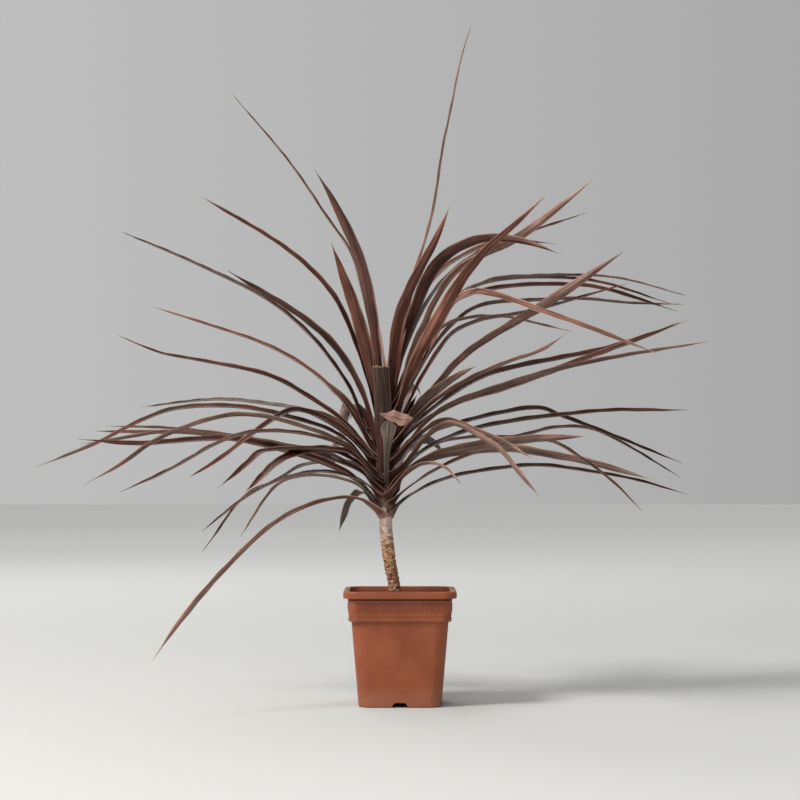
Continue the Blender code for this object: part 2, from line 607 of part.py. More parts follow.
def width_share(row, along):
    """Width along a leaf as a share of its widest: narrow at the seat, then broad, then drawn to a point."""
    width = row[2]
    rise = smooth_step(along / WIDTH_FULL)
    fall = 0.0 if row[0] in BLUNT else max((along - TAPER_FROM) / (1 - TAPER_FROM), 0.0)
    base = BASE_WIDTH / width
    return max((base + (1 - base) * rise) * (1 - fall ** TAPER_POWER), TIP_WIDTH / width)


def width_seen(row, along):
    """The width that the viewer sees, in pixels: slim low in the crown, then as read for middle and tip."""
    _, _, _, middle, tip, _, _ = row
    low = min(middle, SEEN_LOW + SEEN_LOW_SHARE * max(middle - SEEN_LOW, 0.0))
    if along > 0.5:
        return middle + (tip - middle) * (along - 0.5) * 2
    return low + (middle - low) * smooth_step((along - SEEN_LOW_ENDS) / (SEEN_MIDDLE_FROM - SEEN_LOW_ENDS))


def roll_choices(tangent, side, sight, shown):
    """The turns about the tangent at which the viewer sees the blade at a share of its width."""
    up = tangent.cross(side)
    across = sight.cross(tangent).normalized()
    a, b = side.dot(across), up.dot(across)
    most = math.hypot(a, b)
    found = []
    for share in (shown, -shown):
        swing = math.acos(max(-1.0, min(1.0, share / max(most, 1e-6))))
        for turn in (math.atan2(b, a) + swing, math.atan2(b, a) - swing):
            found.append((turn + math.pi) % (2 * math.pi) - math.pi)
    return found


def leaf_rolls(row, fractions, points, tangents, sides):
    """The blade's turn about its midrib at each station, so that it shows the width that was read, and, where
    that needs no strong twist, the face that was seen."""
    eye = Vector((0.0, -EYE_DISTANCE, EYE_HEIGHT))
    wanted = -1 if row[1] in UNDERSIDE_SEEN else 1
    choices = []
    for along, point, tangent, side in zip(fractions, points, tangents, sides):
        shown = width_seen(row, along) * MM_PER_PIXEL / (row[2] * width_share(row, along))
        shown = min(shown, MOST_SHOWN)
        choices.append(roll_choices(tangent, side, (point - eye).normalized(), shown))
    middle = len(fractions) // 2
    sight = (points[middle] - eye).normalized()

    def strain(turn):
        side, tangent = sides[middle], tangents[middle]
        up = tangent.cross(side)
        facing = -(up * math.cos(turn) - side * math.sin(turn)).dot(sight)
        return abs(turn) + (WRONG_FACE_STRAIN if facing * wanted < 0 else 0.0)

    rolls = [0.0] * len(fractions)
    rolls[middle] = min(choices[middle], key=strain)
    for order in (range(middle - 1, -1, -1), range(middle + 1, len(fractions))):
        last = rolls[middle]
        for k in order:
            nearest = min(choices[k], key=lambda turn: abs(turn - last))
            last += max(-MOST_TWIST, min(MOST_TWIST, nearest - last))
            rolls[k] = last
    return [roll * min(along / TURN_FULL, 1.0) for roll, along in zip(rolls, fractions)]


def blade(row, course, bearing, root_bearing, stations=STATIONS, swell=0.0):
    """The closed blade round a midrib: a shallow V in section, split into triangles alike on both faces."""
    width = row[2]
    fractions = [(k / stations) ** STATION_CROWDING for k in range(stations + 1)]
    points = at_fractions(course, fractions)
    turn = (root_bearing - bearing + math.pi) % (2 * math.pi) - math.pi
    tangents, sides = [], []
    for k, along in enumerate(fractions):
        tangent = (points[min(k + 1, stations)] - points[max(k - 1, 0)]).normalized()
        facing = bearing + turn * max(1 - along / BASE_FACING_ENDS, 0.0)
        level = Vector((-math.sin(facing), math.cos(facing), 0.0))
        tangents.append(tangent)
        sides.append((level - tangent * level.dot(tangent)).normalized())
    rolls = leaf_rolls(row, fractions, points, tangents, sides)
    vertices = []
    for along, point, tangent, side, roll in zip(fractions, points, tangents, sides, rolls):
        side = side * math.cos(roll) + tangent.cross(side) * math.sin(roll)
        normal = tangent.cross(side)
        half = width * width_share(row, along) / 2
        lift = normal * (half * FOLD * min(along / FOLD_FULL, 1.0))
        mid, edge = normal * (BLADE_THICKNESS / 2 + swell), normal * (EDGE_THICKNESS / 2 + swell)
        out = side * (half + swell)
        vertices += [
            point - out + lift + edge, point + mid, point + out + lift + edge,
            point + out + lift - edge, point - mid, point - out + lift - edge,
        ]
    faces = []
    for k in range(stations):
        a, b = 6 * k, 6 * (k + 1)
        for i, j in ((0, 1), (1, 2)):
            m, n = 5 - i, 5 - j
            faces += [(a + i, a + j, b + j), (a + i, b + j, b + i)]
            faces += [(a + m, b + n, a + n), (a + m, b + m, b + n)]
        for i, j in ((2, 3), (5, 0)):
            faces += [(a + i, a + j, b + j), (a + i, b + j, b + i)]
    last = 6 * stations
    faces += [(0, 5, 4, 1), (1, 4, 3, 2)]
    faces += [(last, last + 1, last + 4, last + 5), (last + 1, last + 2, last + 3, last + 4)]
    return vertices, faces


def tree_of(vertices, faces):
    """A search tree of a shape and its box, to test it against others."""
    low = [min(v[i] for v in vertices) for i in range(3)]
    high = [max(v[i] for v in vertices) for i in range(3)]
    return BVHTree.FromPolygons(vertices, faces), low, high


def touches(one, other):
    """Whether two shapes cross."""
    if any(one[1][i] > other[2][i] or other[1][i] > one[2][i] for i in range(3)):
        return False
    return bool(one[0].overlap(other[0]))


def root_heights():
    """Seats in the order in which the leaves bend away, at even steps up the core."""
    order = []
    for row in LEAVES:
        first = plane_point(row[6][0])
        axis = stem_at(min(first.y, CROWN_TOP))
        order.append((first.y - LAUNCH_RISE * max(abs(first.x - axis[0]) - axis[1], 0.0), row[0]))
    order.sort()
    step = (CROWN_TOP - SEAT_MARGIN - CROWN_BASE) / (len(order) - 1)
    return {name: CROWN_BASE + step * k for k, (_, name) in enumerate(order)}


def placements(row, root_height):
    """The ways a leaf may be set, from its own depth and seat to further and further from them."""
    first = plane_point(row[6][0])
    axis = stem_at(min(first.y, CROWN_TOP))
    top = first.y - SEAT_BELOW_READING - SEAT_RISE * max(abs(first.x - axis[0]) - axis[1], 0.0)
    seat = max(min(root_height, top), CROWN_BASE)
    ways = []
    for change in DEPTH_CHANGES:
        for bow in BOWS:
            for lift in LIFTS:
                for turn in TURNS:
                    cost = abs(change) + BOW_COST * abs(bow) + LIFT_COST * abs(lift) + TURN_COST * abs(turn)
                    ways.append((cost, row[5] + change, bow, seat + lift, turn))
    return [(depth, bow, height, math.radians(turn)) for _, depth, bow, height, turn in sorted(ways)]


def settle_leaf(row, root_height, placed, stem_tree):
    """The first way of setting a leaf in which it crosses nothing that is already there."""
    partner = placed.get(SAME_BASE.get(row[0]))
    pressed = placed.get(PRESSED.get(row[0]))
    others = [leaf["tree"] for leaf in placed.values() if leaf is not partner and leaf is not pressed]
    for depth, bow, seat, turn in placements(row, root_height):
        bearing = leaf_bearing(row, depth)
        root_bearing = bearing + turn
        if partner:
            seat, root_bearing = partner["seat"] + SHARED_ROOT, partner["root_bearing"]
        course = leaf_course(row, depth, bow, seat, root_bearing)
        swollen = tree_of(*blade(row, course, bearing, root_bearing, swell=CLEARANCE))
        if any(touches(swollen, other) for other in others):
            continue
        if touches(tree_of(*blade(row, course, bearing, root_bearing, swell=STEM_CLEARANCE)), stem_tree):
            continue
        vertices, faces = blade(row, course, bearing, root_bearing)
        tree = tree_of(vertices, faces)
        if pressed and not touches(tree, pressed["tree"]):
            continue
        return {
            "tone": row[1], "seat": seat, "root_bearing": root_bearing, "vertices": vertices, "faces": faces,
            "tree": tree,
        }
    raise ValueError(f"no clear place was found for leaf {row[0]}")


def build_leaves(parent):
    """One object for each leaf, and one for each pair that grows or is pressed together."""
    stem_tree = tree_of(*stem_shape())
    heights = root_heights()
    placed = {}
    for row in LEAVES:
        placed[row[0]] = settle_leaf(row, heights[row[0]], placed, stem_tree)
    made = {
        name: add_object(f"leaf_{name}", leaf["vertices"], leaf["faces"], leaf["tone"], parent)
        for name, leaf in placed.items()
    }
    for name, partner in {**SAME_BASE, **PRESSED}.items():
        apply_boolean(made[partner], "UNION", "MANIFOLD", tool=made.pop(name))


def centre_on_origin(parent):
    """Moves the whole plant so that its bounds are centred over the origin."""
    bpy.context.view_layer.update()
    corners = [o.matrix_world @ v.co for o in bpy.data.objects if o.type == "MESH" for v in o.data.vertices]
    for axis in (0, 1):
        parent.location[axis] = -(min(c[axis] for c in corners) + max(c[axis] for c in corners)) / 2


def main():
    clear_scene()
    plant = bpy.data.objects.new("potted_cordyline", None)
    bpy.context.scene.collection.objects.link(plant)
    build_pot(plant)
    build_soil(plant)
    add_object("trunk", *stem_shape(), "bark", plant)
    build_leaves(plant)
    centre_on_origin(plant)


main()
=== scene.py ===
"""Potted cordyline, dressed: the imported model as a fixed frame, under fine leaves, pot, bark and soil.

Shapes are worked out in millimetres in the pot's frame, as in the model's own source, and are then moved to
the frame's pot. The leaves' courses and the search that sets them clear of each other are the same as there,
so each fine blade lies where its solid lies."""

import json
import math
import random
from collections import namedtuple

import bmesh
import bpy
from mathutils import Matrix, Vector, noise
from mathutils.bvhtree import BVHTree

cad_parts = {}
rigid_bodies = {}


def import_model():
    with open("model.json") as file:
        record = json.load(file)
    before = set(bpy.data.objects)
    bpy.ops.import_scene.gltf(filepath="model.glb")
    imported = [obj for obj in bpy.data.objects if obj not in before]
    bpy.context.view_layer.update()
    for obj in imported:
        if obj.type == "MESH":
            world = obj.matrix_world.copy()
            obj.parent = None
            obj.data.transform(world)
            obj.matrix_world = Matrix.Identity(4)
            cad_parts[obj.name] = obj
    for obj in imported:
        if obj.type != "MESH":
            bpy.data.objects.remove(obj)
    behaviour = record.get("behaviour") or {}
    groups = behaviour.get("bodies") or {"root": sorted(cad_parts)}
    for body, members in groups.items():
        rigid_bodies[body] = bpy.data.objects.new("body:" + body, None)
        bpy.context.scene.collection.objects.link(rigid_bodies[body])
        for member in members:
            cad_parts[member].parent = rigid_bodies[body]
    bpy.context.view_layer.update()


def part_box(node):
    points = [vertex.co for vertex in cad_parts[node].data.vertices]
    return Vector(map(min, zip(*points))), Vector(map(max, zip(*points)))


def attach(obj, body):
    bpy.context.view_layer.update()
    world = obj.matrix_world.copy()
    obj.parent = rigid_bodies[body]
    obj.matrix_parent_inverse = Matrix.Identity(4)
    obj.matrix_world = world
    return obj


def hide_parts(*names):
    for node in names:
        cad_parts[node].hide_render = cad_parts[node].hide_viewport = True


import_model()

MM = 0.001

# The front photograph's frame: pixels in the upright plane through the stem.
MM_PER_PIXEL = 1.2255
POT_MIDDLE_PX = 400.0
GROUND_PX = 702.6
EYE_HEIGHT = 290.0
EYE_DISTANCE = 2700.0

# Pot, millimetres.
POT_HEIGHT = 139.5
RIM_HALF = 68.3
FOOT_HALF = 50.0
BODY_TOP_HALF = 58.4
BODY_TOP = 101.0
COLLAR_LOW_HALF = 61.3
COLLAR_TOP_HALF = 62.8
COLLAR_LOW = 104.0
COLLAR_TOP = 137.0
INNER_STEP = 105.5
BEAD_HEIGHT = 4.2
BAND_LOW = 109.8
BAND_LOW_HALF = 61.8
SKIRT_LOW = 131.1
WALL = 1.9
FLOOR_TOP = 9.0
CHANNEL_LOW_WIDTH = 21.0
CHANNEL_TOP_WIDTH = 13.0
CHANNEL_HEIGHT = 6.0
DRAIN_RADIUS = 4.0
DRAIN_OFFSET = 27.0
DRAIN_FROM = 2.0
CUTTER_OVERRUN = 20.0
CUTTER_BELOW = 1.0
ROUND_CORNER_REST = 0.001
CORNER_POINTS = 6

# Greek key band on the collar, millimetres.
KEY_UNITS = 8
KEY_PITCH = 13.0
KEY_HEIGHT = 11.0
KEY_MIDDLE = 120.0
KEY_LINE = 1.5
KEY_RELIEF = 0.6
KEY_ROOT = 1.0

# Soil and trunk, millimetres.
SOIL_EDGE = 119.0
SOIL_MIDDLE = 122.0
GAP = 0.3
FACET_ALLOWANCE = 0.15
STEM_FOOT = 62.0
STEM_SIDES = 14
STEM_STEP = 12.0
STEM_TIP_SHARE = 0.6
STEM_TIP_RISE = 2.0
STEM_LEAN_BELOW = 0.4
SCAR_SPACING = 5.2
SCAR_DEPTH = 0.35
SCARS_ABOVE_SOIL = 4.0
CROWN_BASE = 226.0
CROWN_TOP = 372.0
CROWN_TOP_RADIUS = 3.2

# Height in the photograph and the stem's middle and width there, in pixels.
STEM_READINGS = [
    (604, 396.0, 12.4), (590, 394.5, 12.0), (580, 393.4, 11.6), (570, 391.3, 11.9), (560, 389.5, 12.1),
    (550, 388.2, 12.4), (540, 387.0, 12.8), (530, 386.0, 13.0), (515, 385.6, 12.4),
]

# Blades, millimetres. The fold is the rise of an edge above the midrib as a share of half the width.
BLADE_THICKNESS = 0.95
EDGE_THICKNESS = 0.65
BASE_WIDTH = 8.0
TIP_WIDTH = 1.6
FOLD = 0.34
STATIONS = 12
STATION_CROWDING = 1.25
COURSE_SPANS = 8

# Where a blade changes, as shares of its length from the stem.
FOLD_FULL = 0.15
TURN_FULL = 0.22
BASE_FACING_ENDS = 0.3
WIDTH_FULL = 0.38
SEEN_LOW_ENDS = 0.1
SEEN_MIDDLE_FROM = 0.45
TAPER_FROM = 0.5
TAPER_POWER = 1.6

# How a blade shows itself to the viewer: widths in pixels low in the crown, the largest share of the width
# that can show, and limits on twist, in radians.
SEEN_LOW = 3.2
SEEN_LOW_SHARE = 0.3
MOST_SHOWN = 0.97
MOST_TWIST = 0.4
WRONG_FACE_STRAIN = 0.6

# Placing, millimetres and degrees: the free space asked for round a blade, the seats' spread, and the
# changes that are tried, each with its cost.
CLEARANCE = 0.42
STEM_CLEARANCE = 0.2
SHARED_ROOT = 0.5
LAUNCH_RISE = 1.1
SEAT_BELOW_READING = 10.0
SEAT_RISE = 0.7
SEAT_MARGIN = 6.0
DEPTH_POWER = 1.4
BOW_SKEW = 0.7
MOST_SPREAD = 1.1
DEPTH_CHANGES = range(-140, 141, 14)
BOWS = (0, 12, -12, 24, -24, 36, -36, 50, -50)
LIFTS = (0, 3, -3, 6, -6, 10)
TURNS = (0, 25, -25, 50, -50)
BOW_COST = 0.8
LIFT_COST = 1.5
TURN_COST = 0.4

# Each leaf: name, tone, width in mm, width seen at the middle and near the tip in pixels, depth of the tip
# in mm (away from the viewer is positive), and the course in pixels of the photograph, stem end first.
Leaf = namedtuple("Leaf", "name tone width middle tip depth course")
LEAVES = [Leaf(*row) for row in [
    ("middle_01", "dark", 21, 17, 17, -40, [(382, 470), (382, 420), (382, 400), (380, 366)]),
    ("middle_02", "mauve", 17, 9, 14, -150,
     [(386, 490), (385, 450), (386, 428), (392, 411), (402, 412), (411, 423)]),
    ("left_01", "dark", 9, 2, 1, 90,
     [(370, 330), (360, 285), (350, 252), (325, 215), (290, 163), (231, 92)]),
    ("left_02", "dark", 18, 12, 6, -45, [(374, 340), (368, 300), (355, 250), (330, 195), (314, 168)]),
    ("left_03", "orange", 18, 13, 7, -95, [(371, 380), (362, 338), (351, 300), (338, 262), (331, 242)]),
    ("left_04", "dark", 15, 5, 3, 150,
     [(378, 420), (370, 390), (355, 345), (335, 300), (310, 270), (280, 245), (198, 194)]),
    ("left_05", "dark", 15, 3, 2, 205,
     [(368, 428), (350, 390), (330, 360), (310, 336), (270, 302), (200, 266), (118, 230)]),
    ("left_06", "dark", 16, 7, 3, -130,
     [(376, 440), (364, 400), (350, 371), (330, 343), (300, 317), (227, 270)]),
    ("left_07", "orange", 14, 3, 2, 60,
     [(370, 447), (350, 412), (330, 388), (300, 364), (260, 343), (220, 329), (151, 306)]),
    ("left_08", "dark", 15, 4, 1, -70,
     [(378, 465), (360, 440), (342, 421), (310, 399), (270, 377), (200, 361), (160, 353), (117, 335)]),
    ("left_09", "dark", 14, 3, 2, 240,
     [(360, 448), (340, 431), (320, 419), (300, 410), (270, 405), (220, 400), (140, 407)]),
    ("left_10", "dark", 16, 4, 3, 25,
     [(370, 468), (350, 444), (330, 431), (300, 421), (240, 408), (174, 410), (140, 422), (100, 442),
      (36, 467)]),
    ("left_11", "pink", 16, 3, 5, -175,
     [(360, 456), (340, 442), (300, 427), (260, 417), (225, 417), (160, 439), (120, 465), (85, 484)]),
    ("left_12", "dark", 15, 2, 3, -235,
     [(370, 470), (350, 450), (320, 438), (280, 432), (245, 434), (215, 445), (174, 468), (120, 492)]),
    ("left_13", "dark", 16, 5, 3, -130,
     [(366, 452), (350, 436), (330, 422), (297, 411), (283, 415), (262, 428), (220, 459), (186, 479)]),
    ("left_14", "mauve", 14, 3, 2, 120,
     [(364, 472), (350, 464), (330, 455), (300, 449), (240, 438), (174, 429), (105, 426)]),
    ("left_15", "dark", 16, 5, 3, 175,
     [(366, 476), (340, 463), (300, 451), (240, 440), (200, 434), (160, 433), (92, 431)]),
    ("left_16", "dark", 17, 6, 4, -20,
     [(360, 482), (340, 469), (310, 457), (280, 449), (230, 440), (190, 441), (140, 444), (78, 439)]),
    ("left_17", "mauve", 15, 4, 3, 60,
     [(362, 486), (340, 472), (310, 460), (260, 446), (210, 436), (160, 433), (125, 438), (80, 444)]),
    ("left_18", "dark", 16, 3, 6, -215,
     [(368, 470), (350, 454), (330, 450), (290, 450), (260, 453), (247, 464), (218, 488)]),
    ("left_19", "dark", 17, 7, 5, -270,
     [(365, 470), (350, 459), (335, 452), (306, 452), (278, 463), (265, 474), (244, 493)]),
    ("left_20", "dark", 13, 2, 2, 130,
     [(370, 475), (350, 463), (330, 462), (300, 467), (275, 482), (250, 493), (236, 506), (218, 531),
      (203, 551)]),
    ("left_21", "dark", 13, 2, 2, -115,
     [(370, 487), (350, 477), (320, 472), (300, 475), (280, 480), (250, 495), (202, 531)]),
    ("left_22", "pink", 12, 2, 2, 215,
     [(360, 487), (340, 479), (320, 476), (300, 477), (278, 485), (240, 537)]),
    ("left_23", "mauve", 15, 4, 6, -165,
     [(376, 512), (364, 501), (350, 498), (330, 500), (300, 510), (270, 528), (225, 571), (180, 622),
      (153, 660)]),
    ("left_24", "grey", 14, 7, 5, 110, [(364, 492), (352, 500), (345, 514), (339, 531)]),
    ("left_25", "grey", 15, 10, 6, 180,
     [(368, 430), (352, 404), (343, 415), (342, 430), (336, 444), (321, 467)]),
    ("left_26", "pink", 12, 4, 3, -75, [(365, 447), (350, 431), (335, 420), (322, 413), (310, 409)]),
    ("right_01", "dark", 18, 11, 5, -65,
     [(391, 400), (394, 360), (400, 320), (411, 290), (425, 261), (437, 237), (451, 203)]),
    ("right_02", "dark", 9, 2, 1, 60,
     [(398, 340), (406, 295), (420, 258), (434, 208), (443, 149), (452, 105), (462, 55), (471, 24)]),
    ("right_03", "dark", 18, 12, 4, -150,
     [(404, 350), (420, 300), (429, 278), (444, 258), (472, 242), (495, 238), (525, 241), (562, 254)]),
    ("right_04", "mauve", 15, 5, 4, 150,
     [(402, 345), (420, 300), (440, 273), (460, 258), (500, 241), (556, 243)]),
    ("right_13", "orange", 15, 5, 4, -225,
     [(418, 372), (440, 330), (455, 303), (473, 293), (500, 297), (540, 311), (590, 328), (660, 354)]),
    ("right_05", "dark", 13, 3, 2, 225, [(406, 350), (440, 285), (490, 246), (520, 235), (587, 212)]),
    ("right_06", "pink", 18, 6, 12, -30,
     [(400, 400), (412, 355), (428, 320), (436, 303), (456, 274), (485, 255), (515, 240), (550, 214),
      (598, 175)]),
    ("right_07", "dark", 17, 12, 2, -110,
     [(402, 400), (412, 370), (430, 335), (450, 300), (469, 271), (490, 247), (510, 229), (549, 192)]),
    ("right_08", "mauve", 19, 7, 13, -185,
     [(405, 432), (420, 408), (440, 384), (460, 362), (480, 346), (540, 309), (570, 288), (629, 248)]),
    ("right_10", "dark", 14, 3, 2, 110,
     [(416, 372), (440, 325), (460, 296), (480, 285), (510, 279), (560, 278), (600, 282), (673, 304)]),
    ("right_09", "pink", 12, 1, 1, 205,
     [(416, 360), (440, 318), (460, 296), (490, 280), (530, 276), (577, 275), (620, 278), (686, 295)]),
    ("right_11", "dark", 15, 4, 3, 40,
     [(414, 378), (432, 340), (452, 305), (470, 295), (510, 287), (560, 285), (600, 288), (678, 311)]),
    ("right_12", "mauve", 14, 3, 2, 265,
     [(410, 388), (432, 350), (448, 330), (470, 311), (490, 304), (530, 301), (580, 299), (630, 303),
      (685, 304)]),
    ("right_14", "dark", 15, 3, 2, 20,
     [(405, 412), (420, 382), (440, 350), (453, 334), (480, 321), (530, 312), (628, 283)]),
    ("right_16", "pink", 14, 4, 3, -140,
     [(406, 430), (420, 415), (440, 398), (470, 380), (510, 362), (540, 351), (567, 333)]),
    ("right_15", "pink", 13, 2, 2, 150,
     [(414, 380), (440, 330), (465, 319), (505, 317), (535, 323), (571, 331)]),
    ("right_17", "mauve", 15, 8, 4, -240, [(408, 420), (425, 400), (445, 385), (473, 366)]),
    ("right_18", "dark", 16, 5, 4, 95,
     [(410, 430), (450, 397), (485, 377), (520, 367), (560, 359), (610, 348), (650, 334), (679, 322)]),
    ("right_19", "dark", 16, 6, 4, -40,
     [(404, 440), (420, 425), (460, 403), (500, 391), (540, 377), (600, 354), (688, 320)]),
    ("right_20", "mauve", 15, 5, 2, -100,
     [(406, 446), (430, 420), (450, 406), (500, 388), (560, 370), (620, 357), (711, 341)]),
    ("right_21", "dark", 14, 4, 2, 165,
     [(400, 455), (430, 434), (463, 423), (500, 414), (540, 409), (562, 417), (600, 431), (682, 463)]),
    ("right_22", "dark", 15, 4, 3, 30,
     [(400, 468), (430, 447), (470, 431), (520, 421), (560, 416), (610, 411), (689, 410)]),
    ("right_23", "mauve", 18, 10, 5, -195,
     [(400, 478), (430, 459), (460, 451), (500, 444), (540, 439), (588, 436)]),
    ("right_24", "dark", 13, 2, 2, 235,
     [(404, 470), (420, 454), (440, 443), (470, 438), (517, 437), (555, 428), (590, 429), (620, 442),
      (680, 477)]),
    ("right_25", "mauve", 14, 4, 3, -265,
     [(410, 445), (430, 428), (447, 421), (475, 431), (505, 443), (533, 459)]),
    ("right_26", "mauve", 17, 8, 5, -120,
     [(402, 478), (430, 461), (470, 453), (510, 450), (550, 456), (590, 463), (655, 480)]),
    ("right_27", "mauve", 15, 5, 4, -300,
     [(408, 462), (425, 440), (450, 425), (480, 438), (500, 451), (513, 466), (539, 496)]),
    ("right_28", "mauve", 9, 3, 2, -200, [(406, 474), (427, 464), (445, 468), (461, 484)]),
    ("right_29", "dark", 13, 3, 2, 70,
     [(400, 504), (420, 490), (450, 478), (500, 469), (540, 466), (590, 472), (640, 481), (686, 494)]),
    ("right_30", "dark", 13, 2, 2, -170,
     [(400, 495), (440, 468), (500, 446), (548, 441), (580, 458), (615, 484), (642, 511)]),
    ("back_01", "dark", 16, 12, 6, 320, [(390, 440), (393, 385), (396, 340), (400, 322), (402, 330)]),
    ("back_02", "dark", 16, 12, 6, 330, [(384, 440), (379, 392), (372, 362), (366, 354), (362, 364)]),
    ("back_03", "mauve", 16, 12, 6, 340, [(394, 450), (401, 414), (408, 392), (415, 386), (421, 396)]),
    ("back_04", "dark", 16, 12, 6, 335, [(382, 470), (374, 434), (365, 414), (356, 410), (349, 420)]),
    ("back_05", "mauve", 16, 12, 6, 325, [(394, 478), (405, 452), (418, 441), (432, 442), (444, 454)]),
    ("back_06", "dark", 16, 12, 6, 345, [(388, 482), (389, 452), (391, 436), (393, 436), (394, 448)]),
    ("middle_03", "pink", 11, 2, 1, 70, [(386, 440), (384, 366), (380, 338), (374, 300)]),
]]

# Young leaves that fill the middle of the crown behind the others, and how far their seats lie below their
# first reading, in millimetres.
INNER = [Leaf(*row) for row in [
    ("inner_01", "orange", 19, 13, 8, 60, [(387, 440), (391, 395), (397, 352), (405, 315), (415, 286)]),
    ("inner_02", "dark", 17, 9, 5, 40, [(392, 440), (402, 400), (414, 362), (428, 328), (441, 303)]),
    ("inner_03", "orange", 15, 8, 5, 70, [(384, 440), (377, 395), (369, 352), (360, 315), (352, 290)]),
    ("inner_04", "dark", 15, 8, 5, 80, [(392, 462), (408, 430), (428, 402), (452, 380), (476, 366)]),
    ("inner_05", "dark", 15, 8, 5, 80, [(380, 462), (366, 432), (350, 408), (334, 390), (318, 376)]),
    ("inner_06", "dark", 17, 9, 5, 25, [(391, 470), (396, 448), (402, 428), (409, 410), (417, 395)]),
    ("inner_07", "dark", 16, 9, 5, 35, [(385, 470), (379, 450), (372, 431), (363, 413), (352, 397)]),
    ("inner_08", "orange", 17, 9, 5, 12, [(391, 462), (394, 436), (398, 408), (404, 380), (413, 352)]),
]]
INNER_BELOW = 18.0

# Leaves that grow from the same clasping base as another, and leaves pressed together with another low in
# the crown. Each is one solid with the leaf that it names.
SAME_BASE = {"left_05": "left_04", "left_15": "left_14", "left_17": "left_16", "right_26": "right_23"}
PRESSED = {"right_10": "right_06", "right_09": "right_01", "right_11": "right_13", "right_15": "right_12"}
PARTNERS = {**SAME_BASE, **PRESSED}

# Leaves that were cut across, so that they end broad, and the tones of leaves seen from their underside.
BLUNT = {"middle_01", "middle_02"}
UNDERSIDE_SEEN = {"mauve", "pink", "grey"}

# Camera, metres, degrees and millimetres of lens.
CAMERA_DISTANCE = 2.7
CAMERA_HEIGHT = 0.29
CAMERA_TILT = 1.716
CAMERA_LENS = 99.1
SENSOR_WIDTH = 36.0

# The pale surroundings: their colour, and their strength at the far left and the far right.
SKY_COLOUR = (0.93, 0.94, 0.93)
SKY_FADE = (-0.9, 0.9, 0.70, 0.28)

# Lights: name, place from the pot's middle and size in metres, power in watts, and colour.
LIGHTS = (
    ("key", (-2.6, -1.75, 3.1), 1.0, 196.0, (1.0, 0.98, 0.95)),
    ("fill", (-0.5, -3.2, 1.7), 1.2, 26.0, (1.0, 1.0, 1.0)),
    ("back", (-0.9, 2.6, 2.8), 1.4, 34.0, (1.0, 1.0, 1.0)),
)
LIGHT_AIM = (0.0, 0.0, 0.4)

# Floor: half its width in metres, and its colours under the plant and far away.
FLOOR_REACH = 14.0
FLOOR_NEAR = (0.52, 0.52, 0.51)
FLOOR_FAR = (0.97, 0.97, 0.96)
FLOOR_FADE = (0.5, 6.0)
FLOOR_ROUGHNESS = 0.9

# Fine blades, millimetres and radians. Points across a blade are shares of half its width.
FINE_STATIONS = 60
ACROSS = (-1.0, -0.8, -0.52, -0.2, 0.0, 0.2, 0.52, 0.8, 1.0)
FINE_EDGE = 0.4
EDGE_POWER = 1.5
FOLD_ROUNDNESS = 0.3
MIDRIB_RIDGE = 0.25
CLASP_ANGLE = 1.62
CLASP_LENGTH = 26.0
CLASP_OVER_STEM = 0.9
SHEATHS = 4
SHEATH_STEP = 0.35
BASE_LENGTH = 52.0
BASE_POWER = 1.5
RIPPLE = 0.35
RIPPLE_LENGTH = 34.0
RIPPLE_RATIO = 0.87
POINT_FROM = 0.86
POINT_WIDTH = 0.25
CUT_ALONG = 0.95
CUT_ROUNDING = 3.0
CUT_ROUNDING_POWER = 5
CUT_SCALLOP = 1.4
CUT_SCALLOP_TURN = 9.0
LEAF_SHADES = (0.7, 1.04)
LEAF_SHARP = 60
SEED_STRIDE = 7.3
SEED_SPAN = 50

# The broken leaf in front of the crown: the strap's end and the flap that hangs over it, in pixels of the
# photograph, with the flap's upper and lower edge from left to right. Then its finishes, its sizes in
# millimetres, and what the leaf's material reads on it.
BROKEN = "middle_02"
BROKEN_TONES = ("grey", "pink")
STRAP = [
    (388, 516, 3), (387, 490, 4), (386.5, 470, 5), (387, 455, 6), (387.6, 443, 8.5), (388, 436.5, 11),
    (388.3, 431, 14), (388.5, 426.5, 13.5), (388.6, 422.5, 9), (388.3, 419.5, 3),
]
FLAP_EDGES = [
    [(379.0, 413.4), (383.5, 412.9), (387.8, 412.7), (391.0, 411.2), (394.4, 410.1), (399.0, 412.2),
     (403.5, 413.4), (407.6, 414.4), (410.6, 416.0), (412.6, 417.7)],
    [(379.6, 414.3), (383.0, 416.9), (386.0, 418.4), (389.7, 420.2), (395.3, 422.6), (400.0, 425.6),
     (403.7, 425.2), (407.0, 423.6), (410.2, 421.4), (412.8, 418.6)],
]
STRAP_STATIONS = 48
STRAP_START = 60.0
STRAP_CURL = 0.3
STRAP_READ_WIDTH = 12.0
STRAP_SEED = 4.0
STRAP_SHADE = 0.75
STRAP_PALER = 0.7
STRAP_PALER_FROM = 0.35
STRAP_PALER_OVER = 0.3
FLAP_HINGE = 2
FLAP_COLUMNS = 32
FLAP_ROWS = 10
FLAP_THICKNESS = 0.7
FLAP_SAG = 5.0
FLAP_SAG_TURN = 1.9
FLAP_RIPPLE = 0.6
FLAP_RIPPLE_TURNS = (0.55, 2.0)
FLAP_READ_START = 260.0
FLAP_READ_STEP = 1.6
FLAP_READ_WIDTH = 18.0
FLAP_SEED = 9.0
FLAP_SHADE = 0.78
SHEET_ALONG = 0.5

